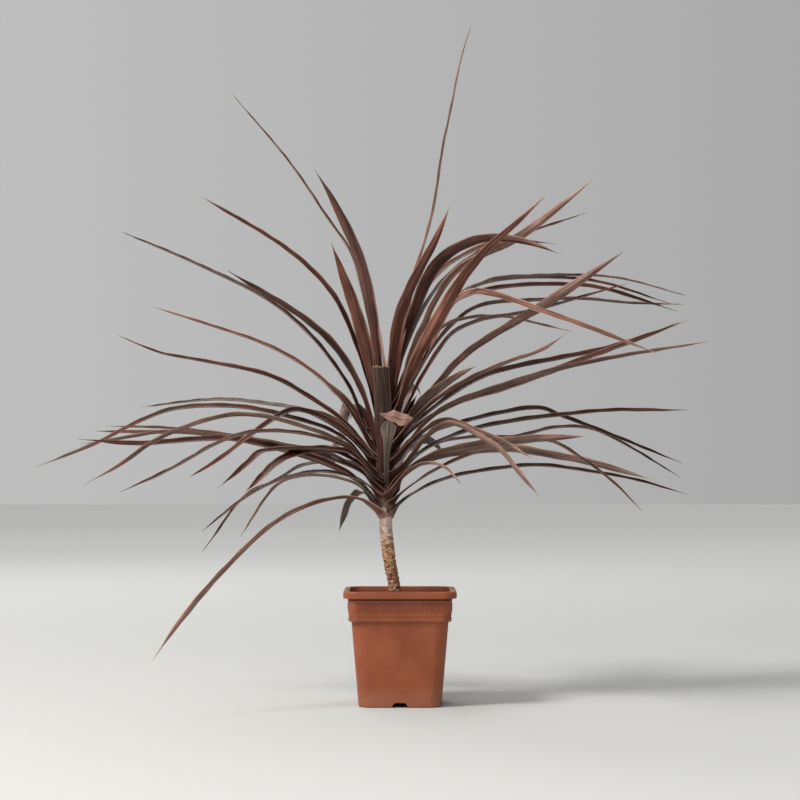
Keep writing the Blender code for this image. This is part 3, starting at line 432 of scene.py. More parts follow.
# Fine pot, millimetres, and the pot's three finishes: plain, and two darkened by painted shadow, with
# how much of the plain colour each keeps.
FINE_CORNER_POINTS = 14
FILLET_POINTS = 4
FILLET_SHARE = 0.45
# The key's chamfer, whose faces carry the painted shadow outline round each stroke.
KEY_CHAMFER = 0.35
# The painted shadow under the rim: how far it reaches down the collar, its margins from the collar and the
# rim, and slack.
RIM_SHADE_HEIGHT = 2.3
RIM_SHADE_SIDES = (0.6, 1.5)
RIM_SHADE_SLACK = 0.1
POT_SHARP = 32
PLAIN, PAINTED_RIM_SHADOW, PAINTED_KEY_SHADOW = 0, 1, 2
POT_FINISHES = (
    ("terracotta plastic", 1.0),
    ("terracotta plastic, grimy", 0.1),
    ("terracotta plastic, worn", 0.42),
)

# One unit of the key, a squared hook, as shares of its pitch and height from left to right.
KEY_COURSE = [
    (0.56, 0.62), (0.30, 0.62), (0.30, 0.30), (0.80, 0.30), (0.80, 1.0), (0.0, 1.0), (0.0, 0.0), (0.80, 0.0),
]
KEY_CENTRE = 0.4

# Fine bark, millimetres. Its unevenness is read round a drum of this radius, with heights shrunk.
BARK_SIDES = 72
BARK_STEP = 0.7
SMOOTH_STEM_STEP = 6.0
BARK_BELOW_SOIL = 6.0
BARK_TOP = 250.0
BARK_SMOOTH = 204.0
BARK_SMOOTH_OVER = 16.0
BARK_LEAST = 0.3
BARK_DRUM = 2.2
BARK_SHRINK = 0.16
SCAR_DRIFT = 2.2
BARK_SCAR, BARK_CHIP, BARK_FLAKE = 0.3, 1.0, 0.55
CHIP_SCALE = (2.6, 0.75)
FLAKE_SCALE = (6.0, 1.7)
BARK_SHARP = 70

# Fine soil, millimetres: its rings, its corner radii where the pot's wall turns, and the crumbs on it.
SOIL_CLEARANCE = 0.1
SOIL_RINGS = 34
SOIL_LEVEL_RINGS = 3
SOIL_LOW_RINGS = ((FLOOR_TOP + GAP + 0.05, 14.8), (BODY_TOP, 16.0), (COLLAR_LOW + 1.8, 13.2))
SOIL_CORNER = 13.2
SOIL_CORNER_REST = 0.01
SOIL_BULGE = 20
SOIL_RISE = 1.6
SOIL_SHARP = 50
SWELLS = (0.8, 0.5)
SWELL_TURNS = (0.21, 0.17, 0.33, 0.12)
SWELL_START = 1.0
SOIL_NOISES = ((0.22, 3.0, 1.1), (0.7, 9.0, 0.6))
CRUMBS = 420
CRUMB_SIZES = (0.7, 2.6)
CRUMB_SHARES = (0.6, 1.0)
CRUMB_LENGTHS = (0.7, 1.4)
CRUMB_HEIGHTS = (0.5, 0.9)
CRUMB_LEAN = 0.6
CRUMB_ROUGHNESS = (0.8, 1.15)
CRUMB_LIFT = 0.2
CRUMB_MARGIN = 3.0
CRUMB_FROM_STEM = 2.5
CRUMB_CORNER = (48, 8)
CRUMB_SEED = 11

# Looks. Colours are linear. A noise has its scale, or its stretch along each axis, and its detail and
# roughness. A fade has the values between which it runs, and what it gives at each end.
# Leaf colours by tone: the upper face's dark and light streaks, the underside's, the midrib and the margin.
LEAF_COLOURS = {
    "dark": ((0.014, 0.0045, 0.0032), (0.094, 0.032, 0.021), (0.045, 0.019, 0.015), (0.140, 0.068, 0.052),
             (0.100, 0.029, 0.019), (0.29, 0.160, 0.122)),
    "mauve": ((0.05, 0.021, 0.016), (0.14, 0.070, 0.053), (0.11, 0.060, 0.047), (0.24, 0.152, 0.122),
              (0.17, 0.056, 0.037), (0.30, 0.16, 0.12)),
    "pink": ((0.07, 0.028, 0.021), (0.20, 0.098, 0.073), (0.17, 0.081, 0.062), (0.37, 0.235, 0.185),
             (0.22, 0.083, 0.058), (0.42, 0.26, 0.20)),
    "grey": ((0.045, 0.029, 0.023), (0.120, 0.087, 0.071), (0.08, 0.062, 0.051), (0.20, 0.160, 0.132),
             (0.105, 0.062, 0.047), (0.28, 0.20, 0.165)),
    "dry": ((0.075, 0.050, 0.044), (0.38, 0.27, 0.245), (0.075, 0.050, 0.044), (0.40, 0.29, 0.265),
            (0.30, 0.20, 0.18), (0.46, 0.34, 0.31)),
    "charcoal": ((0.014, 0.0070, 0.0055), (0.054, 0.029, 0.022), (0.04, 0.024, 0.019), (0.10, 0.067, 0.054),
                 (0.058, 0.028, 0.021), (0.12, 0.074, 0.055)),
    "orange": ((0.038, 0.011, 0.0075), (0.235, 0.072, 0.046), (0.085, 0.031, 0.022), (0.27, 0.118, 0.082),
               (0.21, 0.062, 0.038), (0.37, 0.185, 0.130)),
}
# Leaves that are dressed in another tone than their solid's.
LOOKS = {
    "right_01": "orange", "right_02": "pink", "right_07": "orange", "right_13": "pink", "left_01": "pink",
    "left_07": "pink", "left_23": "pink", "left_25": "dry", "back_01": "orange", "back_03": "orange",
    "middle_01": "charcoal",
}
DRY_TIP = (0.36, 0.27, 0.15)
PALE_BASE = (0.29, 0.17, 0.14)
DARK_BASE = ((0.012, 0.0044, 0.0034), (0.115, 0.037, 0.026))
FINE_STREAKS = ((2.3, 0.035, 5.0), 3.0, 0.6)
BROAD_STREAKS = ((0.55, 0.011, 3.0), 2.0, 0.55)
PATCHES = ((0.12, 0.022, 2.0), 2.0, 0.5)
STREAK_SHARES = (0.45, 0.55)
STREAK_FADE = (0.41, 0.62)
UPPER_FADE = (0.4, 0.6)
DARK_BASE_FADE = (20.0, 150.0, 0.85, 0.0)
MIDRIB_FADE = (0.04, 0.13, 0.6, 0.0)
MARGIN_WEAR = 0.12
MARGIN_FADE = (0.9, 1.0, 0.0, 0.8)
CLASP_WEAR = 10.0
CLASP_FADE = (6.0, 15.0, 0.75, 0.0)
CLASP_HEIGHT_FADE = (0.244, 0.262, 1.0, 0.1)
TIP_WEAR = 0.05
TIP_FADE = (0.985, 1.02, 0.0, 0.9)
PATCH_FADE = (0.3, 0.7, 0.74, 1.32)
LEAF_SPECULAR = 0.16
LEAF_ROUGHNESS = (0.35, 0.65, 0.4, 0.56)
LEAF_BUMP = (0.35, 0.0006)

PLASTIC_CLOUD = (22.0, 4.0, 0.6)
PLASTIC_GRAIN = (900.0, 2.0, 0.6)
PLASTIC_SCUFFS = ((60.0, 60.0, 420.0), 3.0, 0.65)
PLASTIC_COLOURS = ((0.230, 0.058, 0.024), (0.292, 0.080, 0.034))
PLASTIC_FADE = (0.3, 0.7)
SCUFF_COLOUR = (0.46, 0.20, 0.13)
SCUFF_FADE = (0.62, 0.74, 0.0, 0.35)
DUST_COLOUR = (0.42, 0.26, 0.19)
DUST_FADE = (0.0, 0.03, 0.35, 0.0)
# The near black that the painted shadow under the rim and round the key units darkens towards.
PAINTED_SHADE_COLOUR = (0.035, 0.010, 0.006)
PLASTIC_SPECULAR = 0.26
PLASTIC_ROUGHNESS = (0.25, 0.75, 0.38, 0.5)
PLASTIC_BUMP = (0.12, 0.0002)

BARK_ROUGH = (170.0, 4.0, 0.65)
BARK_FLAKES = ((150.0, 150.0, 360.0), 4.0, 0.7)
BARK_CELLS = (170.0, 170.0, 310.0)
FLAKE_SHIFT = 0.02
ROUGH_SHIFT = 0.03
BARK_FOOT, BARK_LOW = (0.21, 0.135, 0.09), (0.43, 0.195, 0.12)
BARK_LOW_FADE = (0.134, 0.156)
BARK_TAN = (0.52, 0.27, 0.115)
BARK_TAN_FADE = (0.160, 0.192)
BARK_PALE = (0.56, 0.42, 0.35)
BARK_PALE_FADE = (0.210, 0.236)
# Pale flecks on the raised bark, partly its own paler flakes and partly painted highlight, and where they
# show.
BARK_FLECK_HIGHLIGHT = (0.72, 0.53, 0.38)
BARK_FLECK_HIGHLIGHT_FADE = (0.52, 0.60, 0.0, 0.8)
BARK_CRACK = (0.13, 0.042, 0.015)
BARK_CRACK_FADE = (0.53, 0.43, 0.0, 0.95)
CRACKS_LESS_ABOVE = 0.4
BARK_EDGE = (0.055, 0.02, 0.01)
BARK_EDGE_FADE = (0.0, 0.08, 0.75, 0.0)
BARK_EDGE_HEIGHT_FADE = (0.19, 0.206, 1.0, 0.25)
BARK_CORE = (0.055, 0.020, 0.014)
BARK_CORE_FADE = (0.252, 0.268)
BARK_ROUGHNESS = (0.3, 0.7, 0.72, 0.92)
ROUGH_IN_RELIEF = 0.5
BARK_BUMP = (0.6, 0.0008)

SOIL_LUMPS = (120.0, 5.0, 0.7)
SOIL_FLECKS = (620.0, 2.0, 0.6)
SOIL_COLOURS = ((0.016, 0.009, 0.006), (0.075, 0.045, 0.028))
SOIL_FADE = (0.35, 0.65)
FLECK_COLOUR = (0.20, 0.13, 0.08)
FLECK_FADE = (0.60, 0.70, 0.0, 0.6)
SOIL_ROUGHNESS = (0.3, 0.7, 0.85, 0.98)
SOIL_BUMP = (0.6, 0.0006)

# The pot's middle in the frame, and how far a leaf may lie from its solid, in metres.
POT_LOW, POT_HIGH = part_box("pot")
POT_MIDDLE = Vector(((POT_LOW.x + POT_HIGH.x) / 2, (POT_LOW.y + POT_HIGH.y) / 2, 0.0))
PLACE_TOLERANCE = 0.0005


def apply_boolean(target, operation, solver, tool=None, tools=None):
    """Runs one Boolean on an object, applies it and removes what it used."""
    step = target.modifiers.new(operation.lower(), "BOOLEAN")
    step.operation = operation
    step.solver = solver
    if tools is None:
        step.object = tool
        used = [tool]
    else:
        step.operand_type = "COLLECTION"
        step.collection = tools
        used = list(tools.objects)
    bpy.context.view_layer.update()
    graph = bpy.context.evaluated_depsgraph_get()
    mesh = bpy.data.meshes.new_from_object(target.evaluated_get(graph))
    target.modifiers.clear()
    target.data = mesh
    for obj in used:
        bpy.data.objects.remove(obj, do_unlink=True)
    if tools is not None:
        bpy.data.collections.remove(tools)


def group(objects, name):
    """Moves objects into a new collection, for a Boolean that takes them all."""
    made = bpy.data.collections.new(name)
    bpy.context.scene.collection.children.link(made)
    for obj in objects:
        for holder in list(obj.users_collection):
            holder.objects.unlink(obj)
        made.objects.link(obj)
    return made


def rounded_square(half, radius, z, middle=(0.0, 0.0), corner_points=CORNER_POINTS):
    """Points round a square with round corners, anticlockwise; a radius of half gives a circle."""
    points = []
    inner = half - radius
    for corner in range(4):
        start = corner * math.pi / 2
        cx = inner * (1 if corner in (0, 3) else -1)
        cy = inner * (1 if corner in (0, 1) else -1)
        for k in range(corner_points):
            a = start + k / (corner_points - 1) * math.pi / 2
            points.append((middle[0] + cx + radius * math.cos(a), middle[1] + cy + radius * math.sin(a), z))
    return points


def bands(count, levels):
    """Quads between rings of equal count, each ring joined to the next."""
    faces = []
    for level in range(levels):
        low, high = level * count, (level + 1) * count
        for k in range(count):
            n = (k + 1) % count
            faces.append([low + k, low + n, high + n, high + k])
    return faces


def loft(rings):
    """Joins rings of equal count into one closed solid, with a flat cap on the first and the last."""
    count = len(rings[0])
    vertices = [p for ring in rings for p in ring]
    caps = [list(range(count)), list(range(len(vertices) - count, len(vertices)))]
    return vertices, caps + bands(count, len(rings) - 1)


def pot_inner_half(z):
    """Half the pot's inner width at a height."""
    if z < BODY_TOP:
        return FOOT_HALF - WALL + (BODY_TOP_HALF - FOOT_HALF) * z / BODY_TOP
    if z < INNER_STEP:
        along = (z - BODY_TOP) / (INNER_STEP - BODY_TOP)
        return BODY_TOP_HALF - WALL + along * (COLLAR_LOW_HALF - BODY_TOP_HALF)
    along = (z - INNER_STEP) / (COLLAR_TOP - INNER_STEP)
    return COLLAR_LOW_HALF - WALL + along * (COLLAR_TOP_HALF - COLLAR_LOW_HALF)


def channel_cutter(turned):
    """A long prism with a trapezium section, which cuts the channel between the feet."""
    low, top, reach = CHANNEL_LOW_WIDTH / 2, CHANNEL_TOP_WIDTH / 2, FOOT_HALF + CUTTER_OVERRUN
    foot = low + (low - top) / CHANNEL_HEIGHT * CUTTER_BELOW
    section = [(-foot, -CUTTER_BELOW), (foot, -CUTTER_BELOW), (top, CHANNEL_HEIGHT), (-top, CHANNEL_HEIGHT)]
    ends = [[(end, x, z) if turned else (x, end, z) for x, z in section] for end in (-reach, reach)]
    return add_object("channel", *loft(ends))


def drain_cutter(x, y):
    """A short upright cylinder through the floor."""
    heights = (DRAIN_FROM, FLOOR_TOP + DRAIN_FROM)
    rings = [rounded_square(DRAIN_RADIUS, DRAIN_RADIUS - ROUND_CORNER_REST, z, (x, y)) for z in heights]
    return add_object("drain", *loft(rings))


def plane_point(pixel):
    """A reading of the photograph as millimetres across and up in the stem's plane."""
    return Vector(((pixel[0] - POT_MIDDLE_PX) * MM_PER_PIXEL, (GROUND_PX - pixel[1]) * MM_PER_PIXEL))


def on_sight_line(flat, depth):
    """The point at a depth behind the stem's plane that is seen where a point of that plane is."""
    scale = (EYE_DISTANCE + depth) / EYE_DISTANCE
    return Vector((flat.x * scale, depth, EYE_HEIGHT + (flat.y - EYE_HEIGHT) * scale))


def stem_at(z):
    """The stem's middle across and its radius at a height; it is straight in depth."""
    rows = [(plane_point((x, y)), w * MM_PER_PIXEL / 2) for y, x, w in STEM_READINGS]
    if z <= rows[0][0].y:
        step = rows[1][0] - rows[0][0]
        return rows[0][0].x + (z - rows[0][0].y) * step.x / step.y * STEM_LEAN_BELOW, rows[0][1]
    for (a, ra), (b, rb) in zip(rows, rows[1:]):
        if z <= b.y:
            along = (z - a.y) / (b.y - a.y)
            return a.x + (b.x - a.x) * along, ra + (rb - ra) * along
    along = min((z - rows[-1][0].y) / (CROWN_TOP - rows[-1][0].y), 1.0)
    return rows[-1][0].x, rows[-1][1] + (CROWN_TOP_RADIUS - rows[-1][1]) * along


def stem_ring(middle, radius, z, sides):
    """A ring of points round the stem."""
    turns = (2 * math.pi * k / sides for k in range(sides))
    return [(middle + radius * math.cos(a), radius * math.sin(a), z) for a in turns]


def stem_tip(sides):
    """The last ring of the stem, inside the crown."""
    middle, radius = stem_at(CROWN_TOP)
    return stem_ring(middle, radius * STEM_TIP_SHARE, CROWN_TOP + STEM_TIP_RISE, sides)


def stem_shape():
    """The bare trunk with its leaf scars, and the slender core that the crown grows from."""
    rings = []
    z = STEM_FOOT
    while z < CROWN_TOP:
        x, radius = stem_at(z)
        scarred = SOIL_MIDDLE + SCARS_ABOVE_SOIL < z < CROWN_BASE
        scar = SCAR_DEPTH * math.cos(2 * math.pi * (z - SOIL_MIDDLE) / SCAR_SPACING) if scarred else 0.0
        rings.append(stem_ring(x, radius + scar, z, STEM_SIDES))
        z += SCAR_SPACING / 2 if scarred else STEM_STEP
    return loft(rings + [stem_tip(STEM_SIDES)])


def smooth_course(points):
    """A Catmull-Rom course through the points, sampled finely, spaced by the chords between them."""
    ends = [points[0] * 2 - points[1]] + points + [points[-1] * 2 - points[-2]]
    knots = [0.0]
    for a, b in zip(ends, ends[1:]):
        knots.append(knots[-1] + max((b - a).length, 1e-6) ** 0.5)
    fine = []
    for k in range(1, len(ends) - 2):
        p0, p1, p2, p3 = ends[k - 1:k + 3]
        t0, t1, t2, t3 = knots[k - 1:k + 3]
        for step in range(COURSE_SPANS):
            t = t1 + (t2 - t1) * step / COURSE_SPANS
            a1 = p0 * ((t1 - t) / (t1 - t0)) + p1 * ((t - t0) / (t1 - t0))
            a2 = p1 * ((t2 - t) / (t2 - t1)) + p2 * ((t - t1) / (t2 - t1))
            a3 = p2 * ((t3 - t) / (t3 - t2)) + p3 * ((t - t2) / (t3 - t2))
            b1 = a1 * ((t2 - t) / (t2 - t0)) + a2 * ((t - t0) / (t2 - t0))
            b2 = a2 * ((t3 - t) / (t3 - t1)) + a3 * ((t - t1) / (t3 - t1))
            fine.append(b1 * ((t2 - t) / (t2 - t1)) + b2 * ((t - t1) / (t2 - t1)))
    return fine + [points[-1].copy()]


def at_fractions(course, fractions):
    """Points at fractions of a course's length."""
    reach = [0.0]
    for a, b in zip(course, course[1:]):
        reach.append(reach[-1] + (b - a).length)
    found, k = [], 0
    for fraction in fractions:
        target = fraction * reach[-1]
        while k < len(course) - 2 and reach[k + 1] < target:
            k += 1
        span = max(reach[k + 1] - reach[k], 1e-9)
        found.append(course[k].lerp(course[k + 1], (target - reach[k]) / span))
    return found


def leaf_bearing(row, depth):
    """The direction in plan from the stem to the leaf's tip."""
    return math.atan2(depth, plane_point(row.course[-1]).x - stem_at(CROWN_BASE)[0])


def leaf_course(row, depth, bow, root_height, root_bearing):
    """The leaf's midrib in three dimensions: from its seat on the stem, and along its reading at its depth.
    A bow pushes its middle away from the viewer or towards them."""
    readings = [plane_point(p) for p in row.course]
    axis = stem_at(root_height)
    reach = readings[-1].x - axis[0]
    seat = axis[1] + GAP + BLADE_THICKNESS / 2 + FACET_ALLOWANCE
    root = Vector((axis[0] + seat * math.cos(root_bearing), seat * math.sin(root_bearing), root_height))
    flat = [Vector((root.x, root.z))] + readings
    lengths = [0.0]
    for a, b in zip(flat, flat[1:]):
        lengths.append(lengths[-1] + (b - a).length)
    plan_share = abs(reach) / (abs(reach) + abs(depth))
    points = [root]
    for point, length in zip(readings, lengths[1:]):
        along = length / lengths[-1]
        spread = min(max((point.x - axis[0]) / reach, 0.0), MOST_SPREAD) if abs(reach) > 1 else along
        outward = plan_share * spread + (1 - plan_share) * along ** DEPTH_POWER
        y = root.y * (1 - along) ** 2 + depth * outward + bow * math.sin(math.pi * along ** BOW_SKEW)
        points.append(on_sight_line(point, y))
    return smooth_course(points)


def smooth_step(share):
    """A smooth rise from 0 to 1."""
    share = min(max(share, 0.0), 1.0)
    return share * share * (3 - 2 * share)


def width_share(row, along):
    """Width along a leaf as a share of its widest: narrow at the seat, then broad, then drawn to a point."""
    rise = smooth_step(along / WIDTH_FULL)
    fall = 0.0 if row.name in BLUNT else max((along - TAPER_FROM) / (1 - TAPER_FROM), 0.0)
    base = BASE_WIDTH / row.width
    return max((base + (1 - base) * rise) * (1 - fall ** TAPER_POWER), TIP_WIDTH / row.width)


def width_seen(row, along):
    """The width that the viewer sees, in pixels: slim low in the crown, then as read for middle and tip."""
    if along > 0.5:
        return row.middle + (row.tip - row.middle) * (along - 0.5) * 2
    low = min(row.middle, SEEN_LOW + SEEN_LOW_SHARE * max(row.middle - SEEN_LOW, 0.0))
    rise = smooth_step((along - SEEN_LOW_ENDS) / (SEEN_MIDDLE_FROM - SEEN_LOW_ENDS))
    return low + (row.middle - low) * rise


def roll_choices(tangent, side, sight, shown):
    """The turns about the tangent at which the viewer sees the blade at a share of its width."""
    up = tangent.cross(side)
    across = sight.cross(tangent).normalized()
    a, b = side.dot(across), up.dot(across)
    most = math.hypot(a, b)
    found = []
    for share in (shown, -shown):
        swing = math.acos(max(-1.0, min(1.0, share / max(most, 1e-6))))
        for turn in (math.atan2(b, a) + swing, math.atan2(b, a) - swing):
            found.append((turn + math.pi) % (2 * math.pi) - math.pi)
    return found


def leaf_rolls(row, fractions, points, tangents, sides):
    """The blade's turn about its midrib at each station, so that it shows the width that was read, and,
    where that needs no strong twist, the face that was seen."""
    eye = Vector((0.0, -EYE_DISTANCE, EYE_HEIGHT))
    wanted = -1 if row.tone in UNDERSIDE_SEEN else 1
    choices = []
    for along, point, tangent, side in zip(fractions, points, tangents, sides):
        shown = width_seen(row, along) * MM_PER_PIXEL / (row.width * width_share(row, along))
        shown = min(shown, MOST_SHOWN)
        choices.append(roll_choices(tangent, side, (point - eye).normalized(), shown))
    middle = len(fractions) // 2
    sight = (points[middle] - eye).normalized()

    def strain(turn):
        side, tangent = sides[middle], tangents[middle]
        up = tangent.cross(side)
        facing = -(up * math.cos(turn) - side * math.sin(turn)).dot(sight)
        return abs(turn) + (WRONG_FACE_STRAIN if facing * wanted < 0 else 0.0)

    rolls = [0.0] * len(fractions)
    rolls[middle] = min(choices[middle], key=strain)
    for order in (range(middle - 1, -1, -1), range(middle + 1, len(fractions))):
        last = rolls[middle]
        for k in order:
            nearest = min(choices[k], key=lambda turn: abs(turn - last))
            last += max(-MOST_TWIST, min(MOST_TWIST, nearest - last))
            rolls[k] = last
    return [roll * min(along / TURN_FULL, 1.0) for roll, along in zip(rolls, fractions)]


def sides_along(course, bearing, root_bearing, fractions):
    """Points, directions and level sides of a midrib at fractions of its length."""
    points = at_fractions(course, fractions)
    turn = (root_bearing - bearing + math.pi) % (2 * math.pi) - math.pi
    last = len(fractions) - 1
    tangents, sides = [], []
    for k, along in enumerate(fractions):
        tangent = (points[min(k + 1, last)] - points[max(k - 1, 0)]).normalized()
        facing = bearing + turn * max(1 - along / BASE_FACING_ENDS, 0.0)
        level = Vector((-math.sin(facing), math.cos(facing), 0.0))
        tangents.append(tangent)
        sides.append((level - tangent * level.dot(tangent)).normalized())
    return points, tangents, sides


def stations(count):
    """Fractions of a blade's length, closer together near the stem."""
    return [(k / count) ** STATION_CROWDING for k in range(count + 1)]


def blade(row, course, bearing, root_bearing, swell=0.0):
    """The closed blade round a midrib: a shallow V in section, split into triangles alike on both faces."""
    fractions = stations(STATIONS)
    points, tangents, sides = sides_along(course, bearing, root_bearing, fractions)
    rolls = leaf_rolls(row, fractions, points, tangents, sides)
    vertices = []
    for along, point, tangent, side, roll in zip(fractions, points, tangents, sides, rolls):
        side = side * math.cos(roll) + tangent.cross(side) * math.sin(roll)
        normal = tangent.cross(side)
        half = row.width * width_share(row, along) / 2
        lift = normal * (half * FOLD * min(along / FOLD_FULL, 1.0))
        mid, edge = normal * (BLADE_THICKNESS / 2 + swell), normal * (EDGE_THICKNESS / 2 + swell)
        out = side * (half + swell)
        vertices += [
            point - out + lift + edge, point + mid, point + out + lift + edge,
            point + out + lift - edge, point - mid, point - out + lift - edge,
        ]
    faces = []
    for k in range(STATIONS):
        a, b = 6 * k, 6 * (k + 1)
        for i, j in ((0, 1), (1, 2)):
            m, n = 5 - i, 5 - j
            faces += [(a + i, a + j, b + j), (a + i, b + j, b + i)]
            faces += [(a + m, b + n, a + n), (a + m, b + m, b + n)]
        for i, j in ((2, 3), (5, 0)):
            faces += [(a + i, a + j, b + j), (a + i, b + j, b + i)]
    last = 6 * STATIONS
    faces += [(0, 5, 4, 1), (1, 4, 3, 2)]
    faces += [(last, last + 1, last + 4, last + 5), (last + 1, last + 2, last + 3, last + 4)]
    return vertices, faces


def tree_of(vertices, faces):
    """A search tree of a shape and its box, to test it against others."""
    low = [min(v[i] for v in vertices) for i in range(3)]
    high = [max(v[i] for v in vertices) for i in range(3)]
    return BVHTree.FromPolygons(vertices, faces), low, high


def touches(one, other):
    """Whether two shapes cross."""
    if any(one[1][i] > other[2][i] or other[1][i] > one[2][i] for i in range(3)):
        return False
    return bool(one[0].overlap(other[0]))


def first_reading(row):
    """The first reading of a leaf's course, and how far it lies outside the stem."""
    first = plane_point(row.course[0])
    middle, radius = stem_at(min(first.y, CROWN_TOP))
    return first, max(abs(first.x - middle) - radius, 0.0)


def root_heights():
    """Seats in the order in which the leaves bend away, at even steps up the core."""
    order = []
    for row in LEAVES:
        first, outside = first_reading(row)
        order.append((first.y - LAUNCH_RISE * outside, row.name))
    order.sort()
    step = (CROWN_TOP - SEAT_MARGIN - CROWN_BASE) / (len(order) - 1)
    return {name: CROWN_BASE + step * k for k, (_, name) in enumerate(order)}


def placements(row, root_height):
    """The ways a leaf may be set, from its own depth and seat to further and further from them."""
    first, outside = first_reading(row)
    seat = max(min(root_height, first.y - SEAT_BELOW_READING - SEAT_RISE * outside), CROWN_BASE)
    ways = []
    for change in DEPTH_CHANGES:
        for bow in BOWS:
            for lift in LIFTS:
                for turn in TURNS:
                    cost = abs(change) + BOW_COST * abs(bow) + LIFT_COST * abs(lift) + TURN_COST * abs(turn)
                    ways.append((cost, row.depth + change, bow, seat + lift, turn))
    return [(depth, bow, height, math.radians(turn)) for _, depth, bow, height, turn in sorted(ways)]


def settle_leaf(row, root_height, placed, stem_tree):
    """The first way of setting a leaf in which it crosses nothing that is already there."""
    partner = placed.get(SAME_BASE.get(row.name))
    pressed = placed.get(PRESSED.get(row.name))
    others = [leaf["tree"] for leaf in placed.values() if leaf is not partner and leaf is not pressed]
    for depth, bow, seat, turn in placements(row, root_height):
        bearing = leaf_bearing(row, depth)
        root_bearing = bearing + turn
        if partner:
            seat, root_bearing = partner["seat"] + SHARED_ROOT, partner["root_bearing"]
        course = leaf_course(row, depth, bow, seat, root_bearing)
        swollen = tree_of(*blade(row, course, bearing, root_bearing, swell=CLEARANCE))
        if any(touches(swollen, other) for other in others):
            continue
        if touches(tree_of(*blade(row, course, bearing, root_bearing, swell=STEM_CLEARANCE)), stem_tree):
            continue
        vertices, faces = blade(row, course, bearing, root_bearing)
        tree = tree_of(vertices, faces)
        if pressed and not touches(tree, pressed["tree"]):
            continue
        return {
            "seat": seat, "bearing": bearing, "root_bearing": root_bearing, "course": course,
            "vertices": vertices, "tree": tree,
        }
    raise ValueError(f"no clear place was found for leaf {row.name}")


def to_frame(point):
    """A point in the pot's millimetres as metres in the frame."""
    return Vector(point) * MM + POT_MIDDLE


def link(name, data, place):
    """Puts a new object in the scene at a place."""
    obj = bpy.data.objects.new(name, data)
    obj.location = place
    bpy.context.scene.collection.objects.link(obj)
    return obj


def add_object(name, vertices, faces, materials=(), face_materials=None):
    """Makes a mesh object, with faces turned outwards, from vertices in the pot's millimetres."""
    mesh = bpy.data.meshes.new(name)
    mesh.from_pydata([to_frame(v) for v in vertices], [], faces)
    for finish in materials:
        mesh.materials.append(finish)
    if face_materials:
        mesh.polygons.foreach_set("material_index", face_materials)
    shape = bmesh.new()
    shape.from_mesh(mesh)
    bmesh.ops.recalc_face_normals(shape, faces=shape.faces)
    shape.to_mesh(mesh)
    shape.free()
    return link(name, mesh, (0, 0, 0))


def dress(obj, angle, slot, *nodes):
    """Shades a piece smooth, with edges sharper than an angle in degrees kept crisp, and lets it ride with
    the part and stand for its solids. The slot is not used."""
    obj.data.polygons.foreach_set("use_smooth", [True] * len(obj.data.polygons))
    obj.data.set_sharp_from_angle(angle=math.radians(angle))
    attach(obj, "root")
    if nodes:
        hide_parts(*nodes)


class Nodes:
    """A node tree, with a short way to add each kind of node that the looks use."""

    def __init__(self, tree):
        self.tree = tree

    def feed(self, socket, value):
        """Links a socket to another node's, or sets its value; a colour takes an alpha of 1."""
        if isinstance(value, bpy.types.NodeSocket):
            self.tree.links.new(value, socket)
        else:
            socket.default_value = (*value, 1.0) if socket.type == "RGBA" else value

    def add(self, kind, inputs=None, **settings):
        """Adds a node with its settings, feeds its inputs, and gives its outputs."""
        made = self.tree.nodes.new("ShaderNode" + kind)
        for key, value in settings.items():
            setattr(made, key, value)
        for key, value in (inputs or {}).items():
            self.feed(made.inputs[key], value)
        return made.outputs

    def math(self, operation, *values):
        """One Math node."""
        return self.add("Math", dict(enumerate(values)), operation=operation)[0]

    def times(self, one, other):
        """One value times another."""
        return self.math("MULTIPLY", one, other)

    def plus(self, one, other, share=1.0):
        """A value plus a share of another."""
        return self.math("ADD", one, other if share == 1.0 else self.times(other, share))

    def mix(self, share, one, other):
        """Mixes two colours by a share."""
        return self.add("Mix", {0: share, 6: one, 7: other}, data_type="RGBA")[2]

    def over(self, colour, *layers):
        """A colour with others laid over it in turn, each by its share."""
        for share, above in layers:
            colour = self.mix(share, colour, above)
        return colour

    def ramp(self, value, low, high, first=0.0, last=1.0):
        """A smooth change from first to last as a value goes from low to high."""
        return self.add("MapRange", {
            "Value": value, "From Min": low, "From Max": high, "To Min": first, "To Max": last,
        }, interpolation_type="SMOOTHSTEP")["Result"]

    def stretched(self, vector, scale):
        """A vector times a scale for each axis."""
        return self.add("VectorMath", {0: vector, 1: scale}, operation="MULTIPLY")[0]

    def noise(self, vector, scale, detail, roughness):
        """Blender's noise as a value, at one scale or stretched by one for each axis."""
        if isinstance(scale, tuple):
            vector, scale = self.stretched(vector, scale), 1.0
        return self.add("TexNoise", {
            "Vector": vector, "Scale": scale, "Detail": detail, "Roughness": roughness,
        })["Fac"]

    def split(self, vector):
        """The three parts of a vector."""
        return tuple(self.add("SeparateXYZ", {0: vector}))

    def place(self):
        """A point's place in its object."""
        return self.add("TexCoord")["Object"]

    def attribute(self, name):
        """A mesh attribute as a vector and as a value."""
        outputs = self.add("Attribute", attribute_name=name)
        return outputs["Vector"], outputs["Fac"]


class Finish(Nodes):
    """A Principled material with no metal in it."""

    def __init__(self, name):
        self.material = bpy.data.materials.new(name)
        self.material.use_nodes = True
        super().__init__(self.material.node_tree)
        self.shader = self.tree.nodes["Principled BSDF"]
        self.shader.inputs["Metallic"].default_value = 0.0

    def done(self, colour, roughness, relief=None, bump=None, specular=None):
        """Feeds the shader, with a relief as a bump of a strength and a distance. Gives the material."""
        self.feed(self.shader.inputs["Base Color"], colour)
        self.feed(self.shader.inputs["Roughness"], roughness)
        if specular is not None:
            self.shader.inputs["Specular IOR Level"].default_value = specular
        if relief is not None:
            strength, distance = bump
            raised = self.add("Bump", {"Height": relief, "Strength": strength, "Distance": distance})
            self.feed(self.shader.inputs["Normal"], raised["Normal"])
        return self.material


